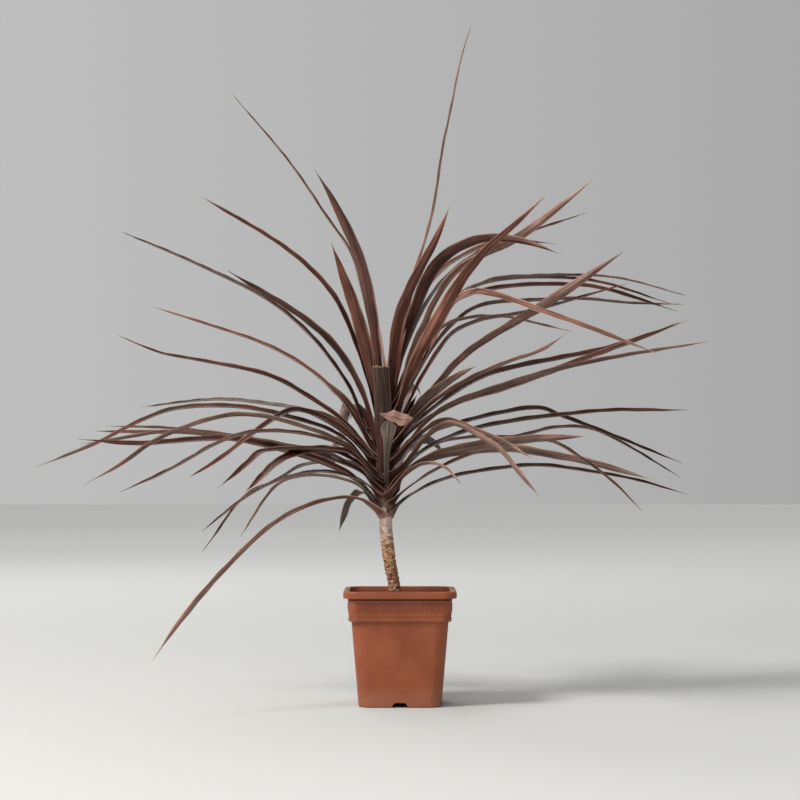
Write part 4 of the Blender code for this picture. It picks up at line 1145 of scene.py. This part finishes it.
def leaf_material(tone):
    """A leaf's two faces, with streaks along it, its midrib, pale margins, dry tip and pale base."""
    leaf = Finish(f"leaf {tone}")
    upper_dark, upper_light, under_dark, under_light, midrib, margin = LEAF_COLOURS[tone]
    across, along, upper = leaf.split(leaf.attribute("place")[0])
    fibre = leaf.attribute("fibre")[0]
    distance = leaf.split(fibre)[1]
    aside = leaf.math("ABSOLUTE", across)
    height = leaf.split(leaf.place())[2]

    fine, broad, patch = (leaf.noise(fibre, *row) for row in (FINE_STREAKS, BROAD_STREAKS, PATCHES))
    streak = leaf.plus(leaf.times(fine, STREAK_SHARES[0]), broad, STREAK_SHARES[1])
    lit = leaf.ramp(streak, *STREAK_FADE)
    clasp = leaf.ramp(leaf.plus(distance, broad, CLASP_WEAR), *CLASP_FADE)
    colour = leaf.over(
        leaf.mix(lit, under_dark, under_light),
        (leaf.ramp(upper, *UPPER_FADE), leaf.mix(lit, upper_dark, upper_light)),
        (leaf.ramp(distance, *DARK_BASE_FADE), leaf.mix(lit, *DARK_BASE)),
        (leaf.ramp(aside, *MIDRIB_FADE), midrib),
        (leaf.ramp(leaf.plus(aside, patch, MARGIN_WEAR), *MARGIN_FADE), margin),
        (leaf.times(clasp, leaf.ramp(height, *CLASP_HEIGHT_FADE)), PALE_BASE),
        (leaf.ramp(leaf.plus(along, broad, TIP_WEAR), *TIP_FADE), DRY_TIP),
    )
    shade = leaf.times(leaf.attribute("shade")[1], leaf.ramp(patch, *PATCH_FADE))
    colour = leaf.add("HueSaturation", {"Value": shade, "Color": colour})["Color"]
    return leaf.done(colour, leaf.ramp(streak, *LEAF_ROUGHNESS), streak, LEAF_BUMP, LEAF_SPECULAR)


def plastic_material(name, unshaded):
    """Satin moulded plastic in a terracotta colour, a little chalky, with faint scuffs, and as much painted
    shade as asked.
    """
    plastic = Finish(name)
    place = plastic.place()
    noises = (PLASTIC_CLOUD, PLASTIC_GRAIN, PLASTIC_SCUFFS)
    cloud, grain, scuff = (plastic.noise(place, *row) for row in noises)
    dust = plastic.times(plastic.ramp(plastic.split(place)[2], *DUST_FADE), cloud)
    colour = plastic.over(
        plastic.mix(plastic.ramp(cloud, *PLASTIC_FADE), *PLASTIC_COLOURS),
        (plastic.ramp(scuff, *SCUFF_FADE), SCUFF_COLOUR),
        (dust, DUST_COLOUR),
    )
    # Painted shade: the finishes under the rim and round the key units darken towards a near black.
    colour = plastic.mix(unshaded, PAINTED_SHADE_COLOUR, colour)
    roughness = plastic.ramp(cloud, *PLASTIC_ROUGHNESS)
    return plastic.done(colour, roughness, grain, PLASTIC_BUMP, PLASTIC_SPECULAR)


def bark_material():
    """Flaking bark: greyish at the foot, tan and orange-brown with cracks above, pale under the crown."""
    bark = Finish("bark")
    place = bark.place()
    rough, flake = (bark.noise(place, *row) for row in (BARK_ROUGH, BARK_FLAKES))
    cells = {"Vector": bark.stretched(place, BARK_CELLS), "Scale": 1.0}
    cell = bark.add("TexVoronoi", cells, feature="DISTANCE_TO_EDGE")["Distance"]
    height = bark.plus(bark.split(place)[2], flake, FLAKE_SHIFT)
    upper = bark.ramp(bark.plus(height, rough, ROUGH_SHIFT), *BARK_PALE_FADE)
    crack = bark.math("SUBTRACT", bark.ramp(flake, *BARK_CRACK_FADE), bark.times(upper, CRACKS_LESS_ABOVE))
    edge = bark.times(bark.ramp(cell, *BARK_EDGE_FADE), bark.ramp(height, *BARK_EDGE_HEIGHT_FADE))
    colour = bark.over(
        bark.mix(bark.ramp(height, *BARK_LOW_FADE), BARK_FOOT, BARK_LOW),
        (bark.ramp(height, *BARK_TAN_FADE), BARK_TAN),
        (upper, BARK_PALE),
        # Pale flecks on the raised bark: partly paler flakes, partly painted highlight.
        (bark.ramp(rough, *BARK_FLECK_HIGHLIGHT_FADE), BARK_FLECK_HIGHLIGHT),
        (bark.math("MAXIMUM", crack, 0.0), BARK_CRACK),
        (edge, BARK_EDGE),
        (bark.ramp(height, *BARK_CORE_FADE), BARK_CORE),
    )
    relief = bark.plus(flake, rough, ROUGH_IN_RELIEF)
    return bark.done(colour, bark.ramp(rough, *BARK_ROUGHNESS), relief, BARK_BUMP)


def soil_material():
    """Dark peat with paler fibres and crumbs."""
    soil = Finish("soil")
    place = soil.place()
    lumps, fleck = (soil.noise(place, *row) for row in (SOIL_LUMPS, SOIL_FLECKS))
    colour = soil.mix(soil.ramp(lumps, *SOIL_FADE), *SOIL_COLOURS)
    colour = soil.mix(soil.ramp(fleck, *FLECK_FADE), colour, FLECK_COLOUR)
    return soil.done(colour, soil.ramp(lumps, *SOIL_ROUGHNESS), fleck, SOIL_BUMP)


def eased(places, values, wanted):
    """Values at the wanted places, on a smooth course through the given ones."""
    found, k = [], 0
    for place in wanted:
        while k < len(places) - 2 and places[k + 1] < place:
            k += 1
        share = (place - places[k]) / (places[k + 1] - places[k])
        start, end = values[k], values[k + 1]
        leaving = (end - values[max(k - 1, 0)]) / 2
        coming = (values[min(k + 2, len(values) - 1)] - start) / 2
        found.append(
            start + share * leaving
            + share * share * (3 * (end - start) - 2 * leaving - coming)
            + share ** 3 * (leaving + coming - 2 * (end - start))
        )
    return found


def fine_half(row, along, distance, wrap):
    """Half the blade's width: the solid's, wider where it clasps the stem and drawn to a pointed tip."""
    half = row.width * width_share(row, along) / 2
    half += (wrap - half) * (1 - smooth_step(distance / BASE_LENGTH)) ** BASE_POWER
    if row.name not in BLUNT and along > POINT_FROM:
        half *= 1 - (1 - POINT_WIDTH) * ((along - POINT_FROM) / (1 - POINT_FROM)) ** 2
    return half


def fine_section(along, distance, half, radius, wave):
    """The blade's middle in section: how far aside and how far up it lies at each share of its half width."""
    clasp = 1 - smooth_step(distance / CLASP_LENGTH)
    folded = min(along / FOLD_FULL, 1.0)
    turn = 2 * math.pi * distance / RIPPLE_LENGTH
    found = []
    for share in ACROSS:
        reach = share * half
        bent = reach / radius
        rise = math.hypot(share, FOLD_ROUNDNESS) - FOLD_ROUNDNESS
        lift = half * FOLD * folded * rise / (math.hypot(1.0, FOLD_ROUNDNESS) - FOLD_ROUNDNESS)
        aside = reach + (radius * math.sin(bent) - reach) * clasp
        lift += (radius * (1 - math.cos(bent)) - lift) * clasp
        ripple = math.sin(turn + wave[0]) if share < 0 else math.sin(turn * RIPPLE_RATIO + wave[1])
        lift += RIPPLE * share * share * ripple * folded
        found.append((share, aside, lift))
    return found


def cut_back(share):
    """How far the end of a leaf that was cut across lies back from its reading."""
    return CUT_ROUNDING * abs(share) ** CUT_ROUNDING_POWER + CUT_SCALLOP * math.cos(share * CUT_SCALLOP_TURN)


def fine_blade(row, leaf, seed):
    """The detailed blade along a midrib: its vertices, faces, and what the material reads at each vertex."""
    chance = random.Random(seed)
    coarse, fine = stations(STATIONS), stations(FINE_STATIONS)
    set_as = (leaf["course"], leaf["bearing"], leaf["root_bearing"])
    rolls = eased(coarse, leaf_rolls(row, coarse, *sides_along(*set_as, coarse)), fine)
    points, tangents, sides = sides_along(*set_as, fine)
    length = sum((b - a).length for a, b in zip(points, points[1:]))
    radius = stem_at(leaf["seat"])[1] + CLASP_OVER_STEM + SHEATH_STEP * (seed % SHEATHS)
    wave = [chance.uniform(0, 2 * math.pi) for _ in range(3)]
    blunt = row.name in BLUNT
    vertices, place, fibre = [], [], []
    for along, point, tangent, side, roll in zip(fine, points, tangents, sides, rolls):
        distance = along * length
        side = side * math.cos(roll) + tangent.cross(side) * math.sin(roll)
        normal = tangent.cross(side)
        half = fine_half(row, along, distance, radius * CLASP_ANGLE)
        top, under = [], []
        for share, aside, lift in fine_section(along, distance, half, radius, wave):
            middle = point + side * aside + normal * lift
            if blunt and along == 1.0:
                middle -= tangent * cut_back(share)
            thick = (BLADE_THICKNESS + (FINE_EDGE - BLADE_THICKNESS) * abs(share) ** EDGE_POWER) / 2
            ridge = MIDRIB_RIDGE if share == 0.0 else 0.0
            top.append(middle + normal * thick)
            under.append(middle - normal * (thick + ridge))
        vertices += top + under[::-1]
        seen_along = min(along, CUT_ALONG) if blunt and along < 1.0 else along
        for upper, shares in ((1.0, ACROSS), (0.0, ACROSS[::-1])):
            place += [(share, seen_along, upper) for share in shares]
            fibre += [(share * half, distance, seed * SEED_STRIDE % SEED_SPAN) for share in shares]
    count = 2 * len(ACROSS)
    faces = bands(count, FINE_STATIONS)
    for start in (0, count * FINE_STATIONS):
        for i in range(len(ACROSS) - 1):
            faces.append([start + i, start + i + 1, start + count - 2 - i, start + count - 1 - i])
    shade = chance.uniform(*LEAF_SHADES)
    return vertices, faces, {"place": place, "fibre": fibre, "shade": [shade] * len(vertices)}


def depth_at(course, height):
    """A course's depth where it first reaches a height, or at its top."""
    for a, b in zip(course, course[1:]):
        if b.z >= height > a.z:
            return a.y + (b.y - a.y) * (height - a.z) / (b.z - a.z)
    return max(course, key=lambda point: point.z).y if height > course[0].z else course[0].y


def sheet(grid, thickness, half, seed, read):
    """A closed sheet with a front, a back and four edges. A function of row and column gives the share of
    its half width, the length along the leaf and the shade that the material reads there."""
    rows, columns = len(grid), len(grid[0])
    back = [[p + Vector((0.0, thickness, 0.0)) for p in row] for row in grid]
    behind = rows * columns
    faces = []
    for r in range(rows - 1):
        for c in range(columns - 1):
            a = r * columns + c
            b = a + columns
            faces.append((a, a + 1, b + 1, b))
            faces.append((behind + a, behind + b, behind + b + 1, behind + a + 1))
    rim = list(range(columns)) + [r * columns + columns - 1 for r in range(1, rows)]
    rim += [(rows - 1) * columns + c for c in range(columns - 2, -1, -1)]
    rim += [r * columns for r in range(rows - 2, 0, -1)]
    for a, b in zip(rim, rim[1:] + rim[:1]):
        faces.append((a, b, behind + b, behind + a))
    spots = [read(r, c) for r in range(rows) for c in range(columns)]
    return [p for row in grid + back for p in row], faces, {
        "place": [(share, SHEET_ALONG, upper) for upper in (0.0, 1.0) for share, _, _ in spots],
        "fibre": [(share * half, length, seed) for share, length, _ in spots] * 2,
        "shade": [shade for _, _, shade in spots] * 2,
    }


def eased_columns(readings, steps):
    """Each column of a table of readings, on a smooth course in even steps."""
    last = len(readings) - 1
    wanted = [k * last / steps for k in range(steps + 1)]
    return [eased(range(last + 1), column, wanted) for column in zip(*readings)]


def leaf_strap(leaf):
    """The strap of the broken leaf, a shallow gutter with its keel towards the viewer."""
    grid, read = [], []
    for k, (x, y, width) in enumerate(zip(*eased_columns(STRAP, STRAP_STATIONS))):
        flat = plane_point((x, y))
        middle = on_sight_line(flat, depth_at(leaf["course"], flat.y))
        half = width * MM_PER_PIXEL / 2
        grid.append([middle + Vector((s * half, STRAP_CURL * half * s * s, 0.0)) for s in ACROSS])
        length = STRAP_START + (middle - grid[0][len(ACROSS) // 2]).length
        paler = smooth_step((k / STRAP_STATIONS - STRAP_PALER_FROM) / STRAP_PALER_OVER)
        read.append((length, STRAP_SHADE + STRAP_PALER * paler))
    return sheet(grid, BLADE_THICKNESS, STRAP_READ_WIDTH / 2, STRAP_SEED, lambda r, c: (ACROSS[c], *read[r]))


def leaf_flap(leaf):
    """The flap of the broken leaf, a sheet that hangs over the strap's end and sags towards the viewer."""
    (upper_x, upper_y), (lower_x, lower_y) = (eased_columns(edge, FLAP_COLUMNS) for edge in FLAP_EDGES)
    start = depth_at(leaf["course"], plane_point(FLAP_EDGES[0][FLAP_HINGE]).y) - BLADE_THICKNESS
    grid = []
    for share in (r / FLAP_ROWS for r in range(FLAP_ROWS + 1)):
        row = []
        for c in range(FLAP_COLUMNS + 1):
            x = upper_x[c] + (lower_x[c] - upper_x[c]) * share
            y = upper_y[c] + (lower_y[c] - upper_y[c]) * share
            ripple = math.sin(c * FLAP_RIPPLE_TURNS[0] + share * FLAP_RIPPLE_TURNS[1])
            depth = start - FLAP_SAG * math.sin(share * FLAP_SAG_TURN) - FLAP_RIPPLE * ripple
            row.append(on_sight_line(plane_point((x, y)), depth))
        grid.append(row)

    def read(r, c):
        return 2 * r / FLAP_ROWS - 1, FLAP_READ_START + c * FLAP_READ_STEP, FLAP_SHADE

    return sheet(grid, FLAP_THICKNESS, FLAP_READ_WIDTH / 2, FLAP_SEED, read)


def leaves_in(name):
    """The leaves that the solid named after a leaf holds."""
    return [name] + [n for n, partner in PARTNERS.items() if partner == name]


def check_place(name, placed):
    """Stops where the search has set a leaf elsewhere than its solid lies."""
    low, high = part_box(f"leaf_{name}")
    points = [to_frame(v) for n in leaves_in(name) for v in placed[n]["vertices"]]
    for axis in range(3):
        reach = (min(p[axis] for p in points) - low[axis], max(p[axis] for p in points) - high[axis])
        if max(abs(r) for r in reach) > PLACE_TOLERANCE:
            raise ValueError(f"leaf {name} lies {reach} m away from its solid")


def write_attributes(mesh, read):
    """Stores what the material reads at each vertex."""
    for name in ("place", "fibre"):
        layer = mesh.attributes.new(name, "FLOAT_VECTOR", "POINT")
        layer.data.foreach_set("vector", [c for v in read[name] for c in v])
    layer = mesh.attributes.new("shade", "FLOAT", "POINT")
    layer.data.foreach_set("value", read["shade"])


def leaf_piece(name, shapes, finishes, slot, *nodes):
    """One piece from the shapes of one or more blades, each with its own finish."""
    vertices, faces, slots = [], [], []
    read = {"place": [], "fibre": [], "shade": []}
    for k, (points, quads, seen) in enumerate(shapes):
        slots += [k] * len(quads)
        faces += [[len(vertices) + i for i in quad] for quad in quads]
        vertices += points
        for key in read:
            read[key] += seen[key]
    obj = add_object(f"{name}_leaf", vertices, faces, finishes, slots)
    write_attributes(obj.data, read)
    dress(obj, LEAF_SHARP, slot, *nodes)


def build_leaves(finishes):
    """One detailed piece for each young leaf, and for each leaf solid with all the blades that it holds."""
    stem_tree = tree_of(*stem_shape())
    heights = root_heights()
    placed = {}
    for row in LEAVES:
        placed[row.name] = settle_leaf(row, heights[row.name], placed, stem_tree)
    for k, row in enumerate(INNER):
        bearing = leaf_bearing(row, row.depth)
        seat = plane_point(row.course[0]).y - INNER_BELOW
        course = leaf_course(row, row.depth, 0, seat, bearing)
        leaf = {"seat": seat, "bearing": bearing, "root_bearing": bearing, "course": course}
        shape = fine_blade(row, leaf, len(LEAVES) + k)
        leaf_piece(row.name, [shape], [finishes[row.tone]], f"leaf_{row.tone}")
    rows = {row.name: (row, k) for k, row in enumerate(LEAVES)}
    for name in placed:
        if name in PARTNERS:
            continue
        check_place(name, placed)
        tones = [LOOKS.get(n, rows[n][0].tone) for n in leaves_in(name)]
        shapes = [fine_blade(rows[n][0], placed[n], rows[n][1]) for n in leaves_in(name)]
        if name == BROKEN:
            tones, shapes = BROKEN_TONES, [leaf_strap(placed[name]), leaf_flap(placed[name])]
        leaf_piece(name, shapes, [finishes[t] for t in tones], f"leaf_{rows[name][0].tone}", f"leaf_{name}")


def filleted(corners):
    """A section with its corners rounded. Each row is half width, corner radius, height and fillet."""
    found = []
    for k, (half, radius, z, fillet) in enumerate(corners):
        here = Vector((half, z))
        if not fillet or not 0 < k < len(corners) - 1:
            found.append((half, radius, z))
            continue
        before, after = (Vector((row[0], row[2])) - here for row in (corners[k - 1], corners[k + 1]))
        cut = min(fillet, before.length * FILLET_SHARE, after.length * FILLET_SHARE)
        start, end = here + before.normalized() * cut, here + after.normalized() * cut
        for step in range(FILLET_POINTS + 1):
            t = step / FILLET_POINTS
            point = start * (1 - t) ** 2 + here * (2 * t * (1 - t)) + end * t * t
            found.append((point.x, radius, point.y))
    return found


def fine_pot_rings():
    """The pot's section with soft edges, from the underside up the outside and down the inside."""
    bead_top = COLLAR_LOW + BEAD_HEIGHT
    corners = [
        (FOOT_HALF - 6.0, 12.0, 0.0, 0.0),
        (FOOT_HALF, 16.5, 0.0, 2.2),
        (BODY_TOP_HALF, 18.0, BODY_TOP, 0.5),
        (BODY_TOP_HALF + 0.2, 17.0, COLLAR_LOW - 1.0, 0.8),
        (COLLAR_LOW_HALF + 0.5, 14.0, COLLAR_LOW - 0.5, 1.0),
        (COLLAR_LOW_HALF + 0.8, 13.5, bead_top, 1.0),
        (COLLAR_LOW_HALF - 0.1, 12.5, bead_top + 0.3, 0.4),
        (COLLAR_LOW_HALF + 0.1, 12.5, BAND_LOW - 0.4, 0.4),
        (BAND_LOW_HALF, 12.5, BAND_LOW, 0.5),
        (COLLAR_TOP_HALF - 0.1, 12.5, SKIRT_LOW - RIM_SHADE_HEIGHT, 0.0),
        (COLLAR_TOP_HALF, 12.5, COLLAR_TOP, 0.4),
        (RIM_HALF - 1.8, 18.0, COLLAR_TOP, 0.8),
        (RIM_HALF - 1.7, 18.0, SKIRT_LOW, 0.5),
        (RIM_HALF, 19.5, SKIRT_LOW, 0.9),
        (RIM_HALF, 19.5, POT_HEIGHT, 2.2),
        (COLLAR_TOP_HALF - 1.5, 14.0, POT_HEIGHT, 1.6),
        (pot_inner_half(COLLAR_TOP), 13.2, POT_HEIGHT - 3.0, 1.0),
        (pot_inner_half(INNER_STEP), 13.2, INNER_STEP, 1.0),
        (pot_inner_half(BODY_TOP), 16.2, BODY_TOP, 1.0),
        (pot_inner_half(FLOOR_TOP), 14.8, FLOOR_TOP, 2.0),
        (pot_inner_half(FLOOR_TOP) - 8.0, 10.0, FLOOR_TOP, 0.0),
    ]
    return [
        rounded_square(half, radius, z, corner_points=FINE_CORNER_POINTS)
        for half, radius, z in filleted(corners)
    ]


def key_stroke(line):
    """Outline of one unit of the key, drawn with a line of even width."""
    height = KEY_HEIGHT - KEY_LINE
    drawn = [Vector(((u - KEY_CENTRE) * KEY_PITCH, (v - 0.5) * height)) for u, v in KEY_COURSE]
    drawn[0].x += (KEY_LINE - line) / 2
    drawn[-1].x -= (KEY_LINE - line) / 2
    left, right = [], []
    for k, point in enumerate(drawn):
        before = (point - drawn[k - 1]).normalized() if k else None
        after = (drawn[k + 1] - point).normalized() if k < len(drawn) - 1 else None
        first, second = before or after, after or before
        normal = (Vector((-first.y, first.x)) + Vector((-second.y, second.x))) / 2
        offset = normal / normal.length_squared * line / 2
        left.append(point + offset)
        right.append(point - offset)
    return left + right[::-1]


def key_units(finishes):
    """Raised key units round the four sides of the collar, with soft front edges that carry a painted shadow
    outline.
    """
    slope = math.atan2(COLLAR_TOP_HALF - COLLAR_LOW_HALF, COLLAR_TOP - COLLAR_LOW)
    along = (KEY_MIDDLE - BAND_LOW) / (COLLAR_TOP - BAND_LOW)
    face = BAND_LOW_HALF + along * (COLLAR_TOP_HALF - BAND_LOW_HALF)
    front = KEY_LINE - 2 * KEY_CHAMFER
    layers = ((KEY_ROOT, KEY_LINE), (KEY_CHAMFER - KEY_RELIEF, KEY_LINE), (-KEY_RELIEF, front))
    strokes = [(depth, key_stroke(line)) for depth, line in layers]
    made = []
    for side in range(4):
        turn = Matrix.Rotation(side * math.pi / 2, 4, "Z")
        for unit in range(KEY_UNITS):
            across = (unit - (KEY_UNITS - 1) / 2) * KEY_PITCH
            lean = turn @ Matrix.Translation((across, -face, KEY_MIDDLE)) @ Matrix.Rotation(slope, 4, "X")
            rings = [[lean @ Vector((p.x, depth, p.y)) for p in stroke] for depth, stroke in strokes]
            vertices, faces = loft(rings)
            # The chamfers and sides of each stroke take the finish with the painted key shadow, a dark
            # outline.
            slots = [PAINTED_KEY_SHADOW if len({i // len(rings[0]) for i in face}) > 1 else PLAIN for face in faces]
            made.append(add_object(f"key_{side}_{unit}", vertices, faces, finishes, slots))
    return group(made, "key band")


def under_rim(ring):
    """Whether a ring of the pot's wall lies in the corner under the rim that takes a painted shadow."""
    inside, outside = RIM_SHADE_SIDES
    low = SKIRT_LOW - RIM_SHADE_HEIGHT - RIM_SHADE_SLACK
    return (COLLAR_TOP_HALF - inside < max(p[0] for p in ring) < RIM_HALF - outside
            and low < ring[0][2] < COLLAR_TOP + RIM_SHADE_SLACK)


def build_pot(finishes):
    """The moulded pot with its feet, drain holes and key band."""
    rings = fine_pot_rings()
    vertices, faces = loft(rings)
    rim_shadowed = {k for k, ring in enumerate(rings) if under_rim(ring)}
    # Rings under the rim take the finish with the painted rim shadow.
    slots = [PAINTED_RIM_SHADOW if all(i // len(rings[0]) in rim_shadowed for i in face) else PLAIN for face in faces]
    pot = add_object("moulded_pot", vertices, faces, finishes, slots)
    for turned in (False, True):
        apply_boolean(pot, "DIFFERENCE", "EXACT", tool=channel_cutter(turned))
    for x, y in ((DRAIN_OFFSET, 0), (-DRAIN_OFFSET, 0), (0, DRAIN_OFFSET), (0, -DRAIN_OFFSET)):
        apply_boolean(pot, "DIFFERENCE", "EXACT", tool=drain_cutter(x, y))
    apply_boolean(pot, "UNION", "MANIFOLD", tools=key_units(finishes))
    dress(pot, POT_SHARP, "terracotta_plastic", "pot")


def bark_radius(angle, z, radius):
    """The bark's radius at a place, with leaf scars, chips and flakes."""
    spot = Vector((math.cos(angle) * BARK_DRUM, math.sin(angle) * BARK_DRUM, z * BARK_SHRINK))
    drift = noise.noise(spot) * SCAR_DRIFT
    scar = math.cos(2 * math.pi * (z - SOIL_MIDDLE) / SCAR_SPACING + drift)
    chip, flake = (
        noise.noise(Vector((spot.x * wide, spot.y * wide, z * high)))
        for wide, high in (CHIP_SCALE, FLAKE_SCALE)
    )
    fade = BARK_LEAST + (1 - BARK_LEAST) * smooth_step((BARK_SMOOTH - z) / BARK_SMOOTH_OVER)
    return radius + fade * (BARK_SCAR * scar + BARK_CHIP * chip + BARK_FLAKE * flake)


def build_bark(finish):
    """The trunk with rough bark, and its smooth core inside the crown."""
    angles = [2 * math.pi * k / BARK_SIDES for k in range(BARK_SIDES)]
    rings = []
    z = STEM_FOOT
    while z < CROWN_TOP:
        x, radius = stem_at(z)
        rough = SOIL_EDGE - BARK_BELOW_SOIL < z < BARK_TOP
        reaches = [bark_radius(a, z, radius) if rough else radius for a in angles]
        rings.append([(x + r * math.cos(a), r * math.sin(a), z) for a, r in zip(angles, reaches)])
        z += BARK_STEP if rough else SMOOTH_STEM_STEP
    obj = add_object("bark_trunk", *loft(rings + [stem_tip(BARK_SIDES)]), [finish])
    dress(obj, BARK_SHARP, "bark", "trunk")


def lump(x, y):
    """The soil's unevenness at a place: broad swells and two sizes of lumps."""
    (first, second), (a, b, c, d) = SWELLS, SWELL_TURNS
    swell = first * math.sin(x * a + SWELL_START) * math.cos(y * b) + second * math.sin(y * c + x * d)
    return swell + sum(noise.noise(Vector((x * s, y * s, level))) * high for s, level, high in SOIL_NOISES)


def soil_top(share):
    """Half width, corner radius, height and middle of the soil's ring at a share of the way to the trunk."""
    x, hole = stem_at(SOIL_MIDDLE)
    edge = pot_inner_half(SOIL_EDGE) - GAP - SOIL_CLEARANCE
    hole += GAP + FACET_ALLOWANCE
    half = edge + (hole - edge) * share
    radius = SOIL_CORNER + (hole - SOIL_CORNER) * share + SOIL_BULGE * share * (1 - share)
    z = SOIL_EDGE + (SOIL_MIDDLE - SOIL_EDGE) * smooth_step(share * SOIL_RISE)
    return half, min(radius, half - SOIL_CORNER_REST), z, x * share


def crumb(chance):
    """One small rough lump of peat: vertices about its middle, and faces."""
    shape = bmesh.new()
    bmesh.ops.create_icosphere(shape, subdivisions=1, radius=1.0)
    size = chance.uniform(*CRUMB_SIZES) / 2 * chance.uniform(*CRUMB_SHARES)
    stretch = Vector([chance.uniform(*reach) for reach in (CRUMB_LENGTHS, CRUMB_LENGTHS, CRUMB_HEIGHTS)])
    turn = Matrix.Rotation(chance.uniform(0, math.pi), 3, "Z")
    turn @= Matrix.Rotation(chance.uniform(-CRUMB_LEAN, CRUMB_LEAN), 3, "X")
    points = [turn @ (v.co * stretch) * size * chance.uniform(*CRUMB_ROUGHNESS) for v in shape.verts]
    faces = [[v.index for v in f.verts] for f in shape.faces]
    shape.free()
    return points, faces


def build_soil(finish):
    """Peat that fills the pot, with an uneven top and loose crumbs on it."""
    rings = [
        rounded_square(pot_inner_half(z) - GAP - SOIL_CLEARANCE, radius, z, corner_points=FINE_CORNER_POINTS)
        for z, radius in SOIL_LOW_RINGS
    ]
    for k in range(SOIL_RINGS + 1):
        half, radius, z, x = soil_top(k / SOIL_RINGS)
        fade = min(k / SOIL_LEVEL_RINGS, 1.0)
        ring = rounded_square(half, radius, z, (x, 0.0), FINE_CORNER_POINTS)
        rings.append([(px, py, pz + fade * lump(px, py)) for px, py, pz in ring])
    for z in ((SOIL_MIDDLE + STEM_FOOT) / 2, STEM_FOOT - GAP):
        x, hole = stem_at(z)
        hole += GAP + FACET_ALLOWANCE
        rings.append(rounded_square(hole, hole - SOIL_CORNER_REST, z, (x, 0.0), FINE_CORNER_POINTS))
    vertices, faces = loft(rings)
    chance = random.Random(CRUMB_SEED)
    stem_x, stem_radius = stem_at(SOIL_MIDDLE)
    half = pot_inner_half(SOIL_EDGE) - CRUMB_MARGIN
    corner, reach = CRUMB_CORNER
    for _ in range(CRUMBS):
        x, y = chance.uniform(-half, half), chance.uniform(-half, half)
        in_stem = math.hypot(x - stem_x, y) < stem_radius + CRUMB_FROM_STEM
        if in_stem or math.hypot(max(abs(x) - corner, 0), max(abs(y) - corner, 0)) > reach:
            continue
        share = 1 - max(abs(x - stem_x), abs(y)) / half
        points, sides = crumb(chance)
        middle = Vector((x, y, soil_top(max(share, 0.0))[2] + lump(x, y) + CRUMB_LIFT))
        faces += [[len(vertices) + i for i in side] for side in sides]
        vertices += [p + middle for p in points]
    obj = add_object("peat", vertices, faces, [finish])
    dress(obj, SOIL_SHARP, "soil", "potting_soil")


def build_floor():
    """A pale floor that grows lighter away from the plant, to meet the surroundings."""
    finish = Finish("pale floor")
    away = finish.add("VectorMath", {0: finish.place()}, operation="LENGTH")["Value"]
    colour = finish.mix(finish.ramp(away, *FLOOR_FADE), FLOOR_NEAR, FLOOR_FAR)
    mesh = bpy.data.meshes.new("studio_floor")
    corners = ((-1, -1), (1, -1), (1, 1), (-1, 1))
    mesh.from_pydata([(x * FLOOR_REACH, y * FLOOR_REACH, 0) for x, y in corners], [], [(0, 1, 2, 3)])
    mesh.materials.append(finish.done(colour, FLOOR_ROUGHNESS, specular=0.0))
    link("studio_floor", mesh, (0, 0, 0))


def build_sky():
    """Pale surroundings, stronger on the left."""
    world = bpy.data.worlds.new("studio")
    world.use_nodes = True
    nodes = Nodes(world.node_tree)
    sky = nodes.tree.nodes["Background"]
    right = nodes.split(nodes.add("TexCoord")["Generated"])[0]
    nodes.feed(sky.inputs["Color"], SKY_COLOUR)
    nodes.feed(sky.inputs["Strength"], nodes.ramp(right, *SKY_FADE))
    bpy.context.scene.world = world


def build_lights():
    """Soft square lights aimed at the plant."""
    for name, place, size, power, colour in LIGHTS:
        data = bpy.data.lights.new(name, "AREA")
        data.shape = "SQUARE"
        data.size = size
        data.energy = power
        data.color = colour
        obj = link(name, data, POT_MIDDLE + Vector(place))
        aim = POT_MIDDLE + Vector(LIGHT_AIM) - obj.location
        obj.rotation_euler = aim.to_track_quat("-Z", "Y").to_euler()


def build_camera():
    """The camera where the photograph was taken from."""
    data = bpy.data.cameras.new("camera")
    data.lens = CAMERA_LENS
    data.sensor_width = SENSOR_WIDTH
    camera = link("camera", data, POT_MIDDLE + Vector((0, -CAMERA_DISTANCE, CAMERA_HEIGHT)))
    camera.rotation_euler = (math.radians(90 + CAMERA_TILT), 0, 0)
    bpy.context.scene.camera = camera
    bpy.context.scene.view_settings.view_transform = "Standard"


def main():
    build_floor()
    build_sky()
    build_lights()
    build_camera()
    build_pot([plastic_material(name, unshaded) for name, unshaded in POT_FINISHES])
    build_soil(soil_material())
    build_bark(bark_material())
    build_leaves({tone: leaf_material(tone) for tone in LEAF_COLOURS})


main()
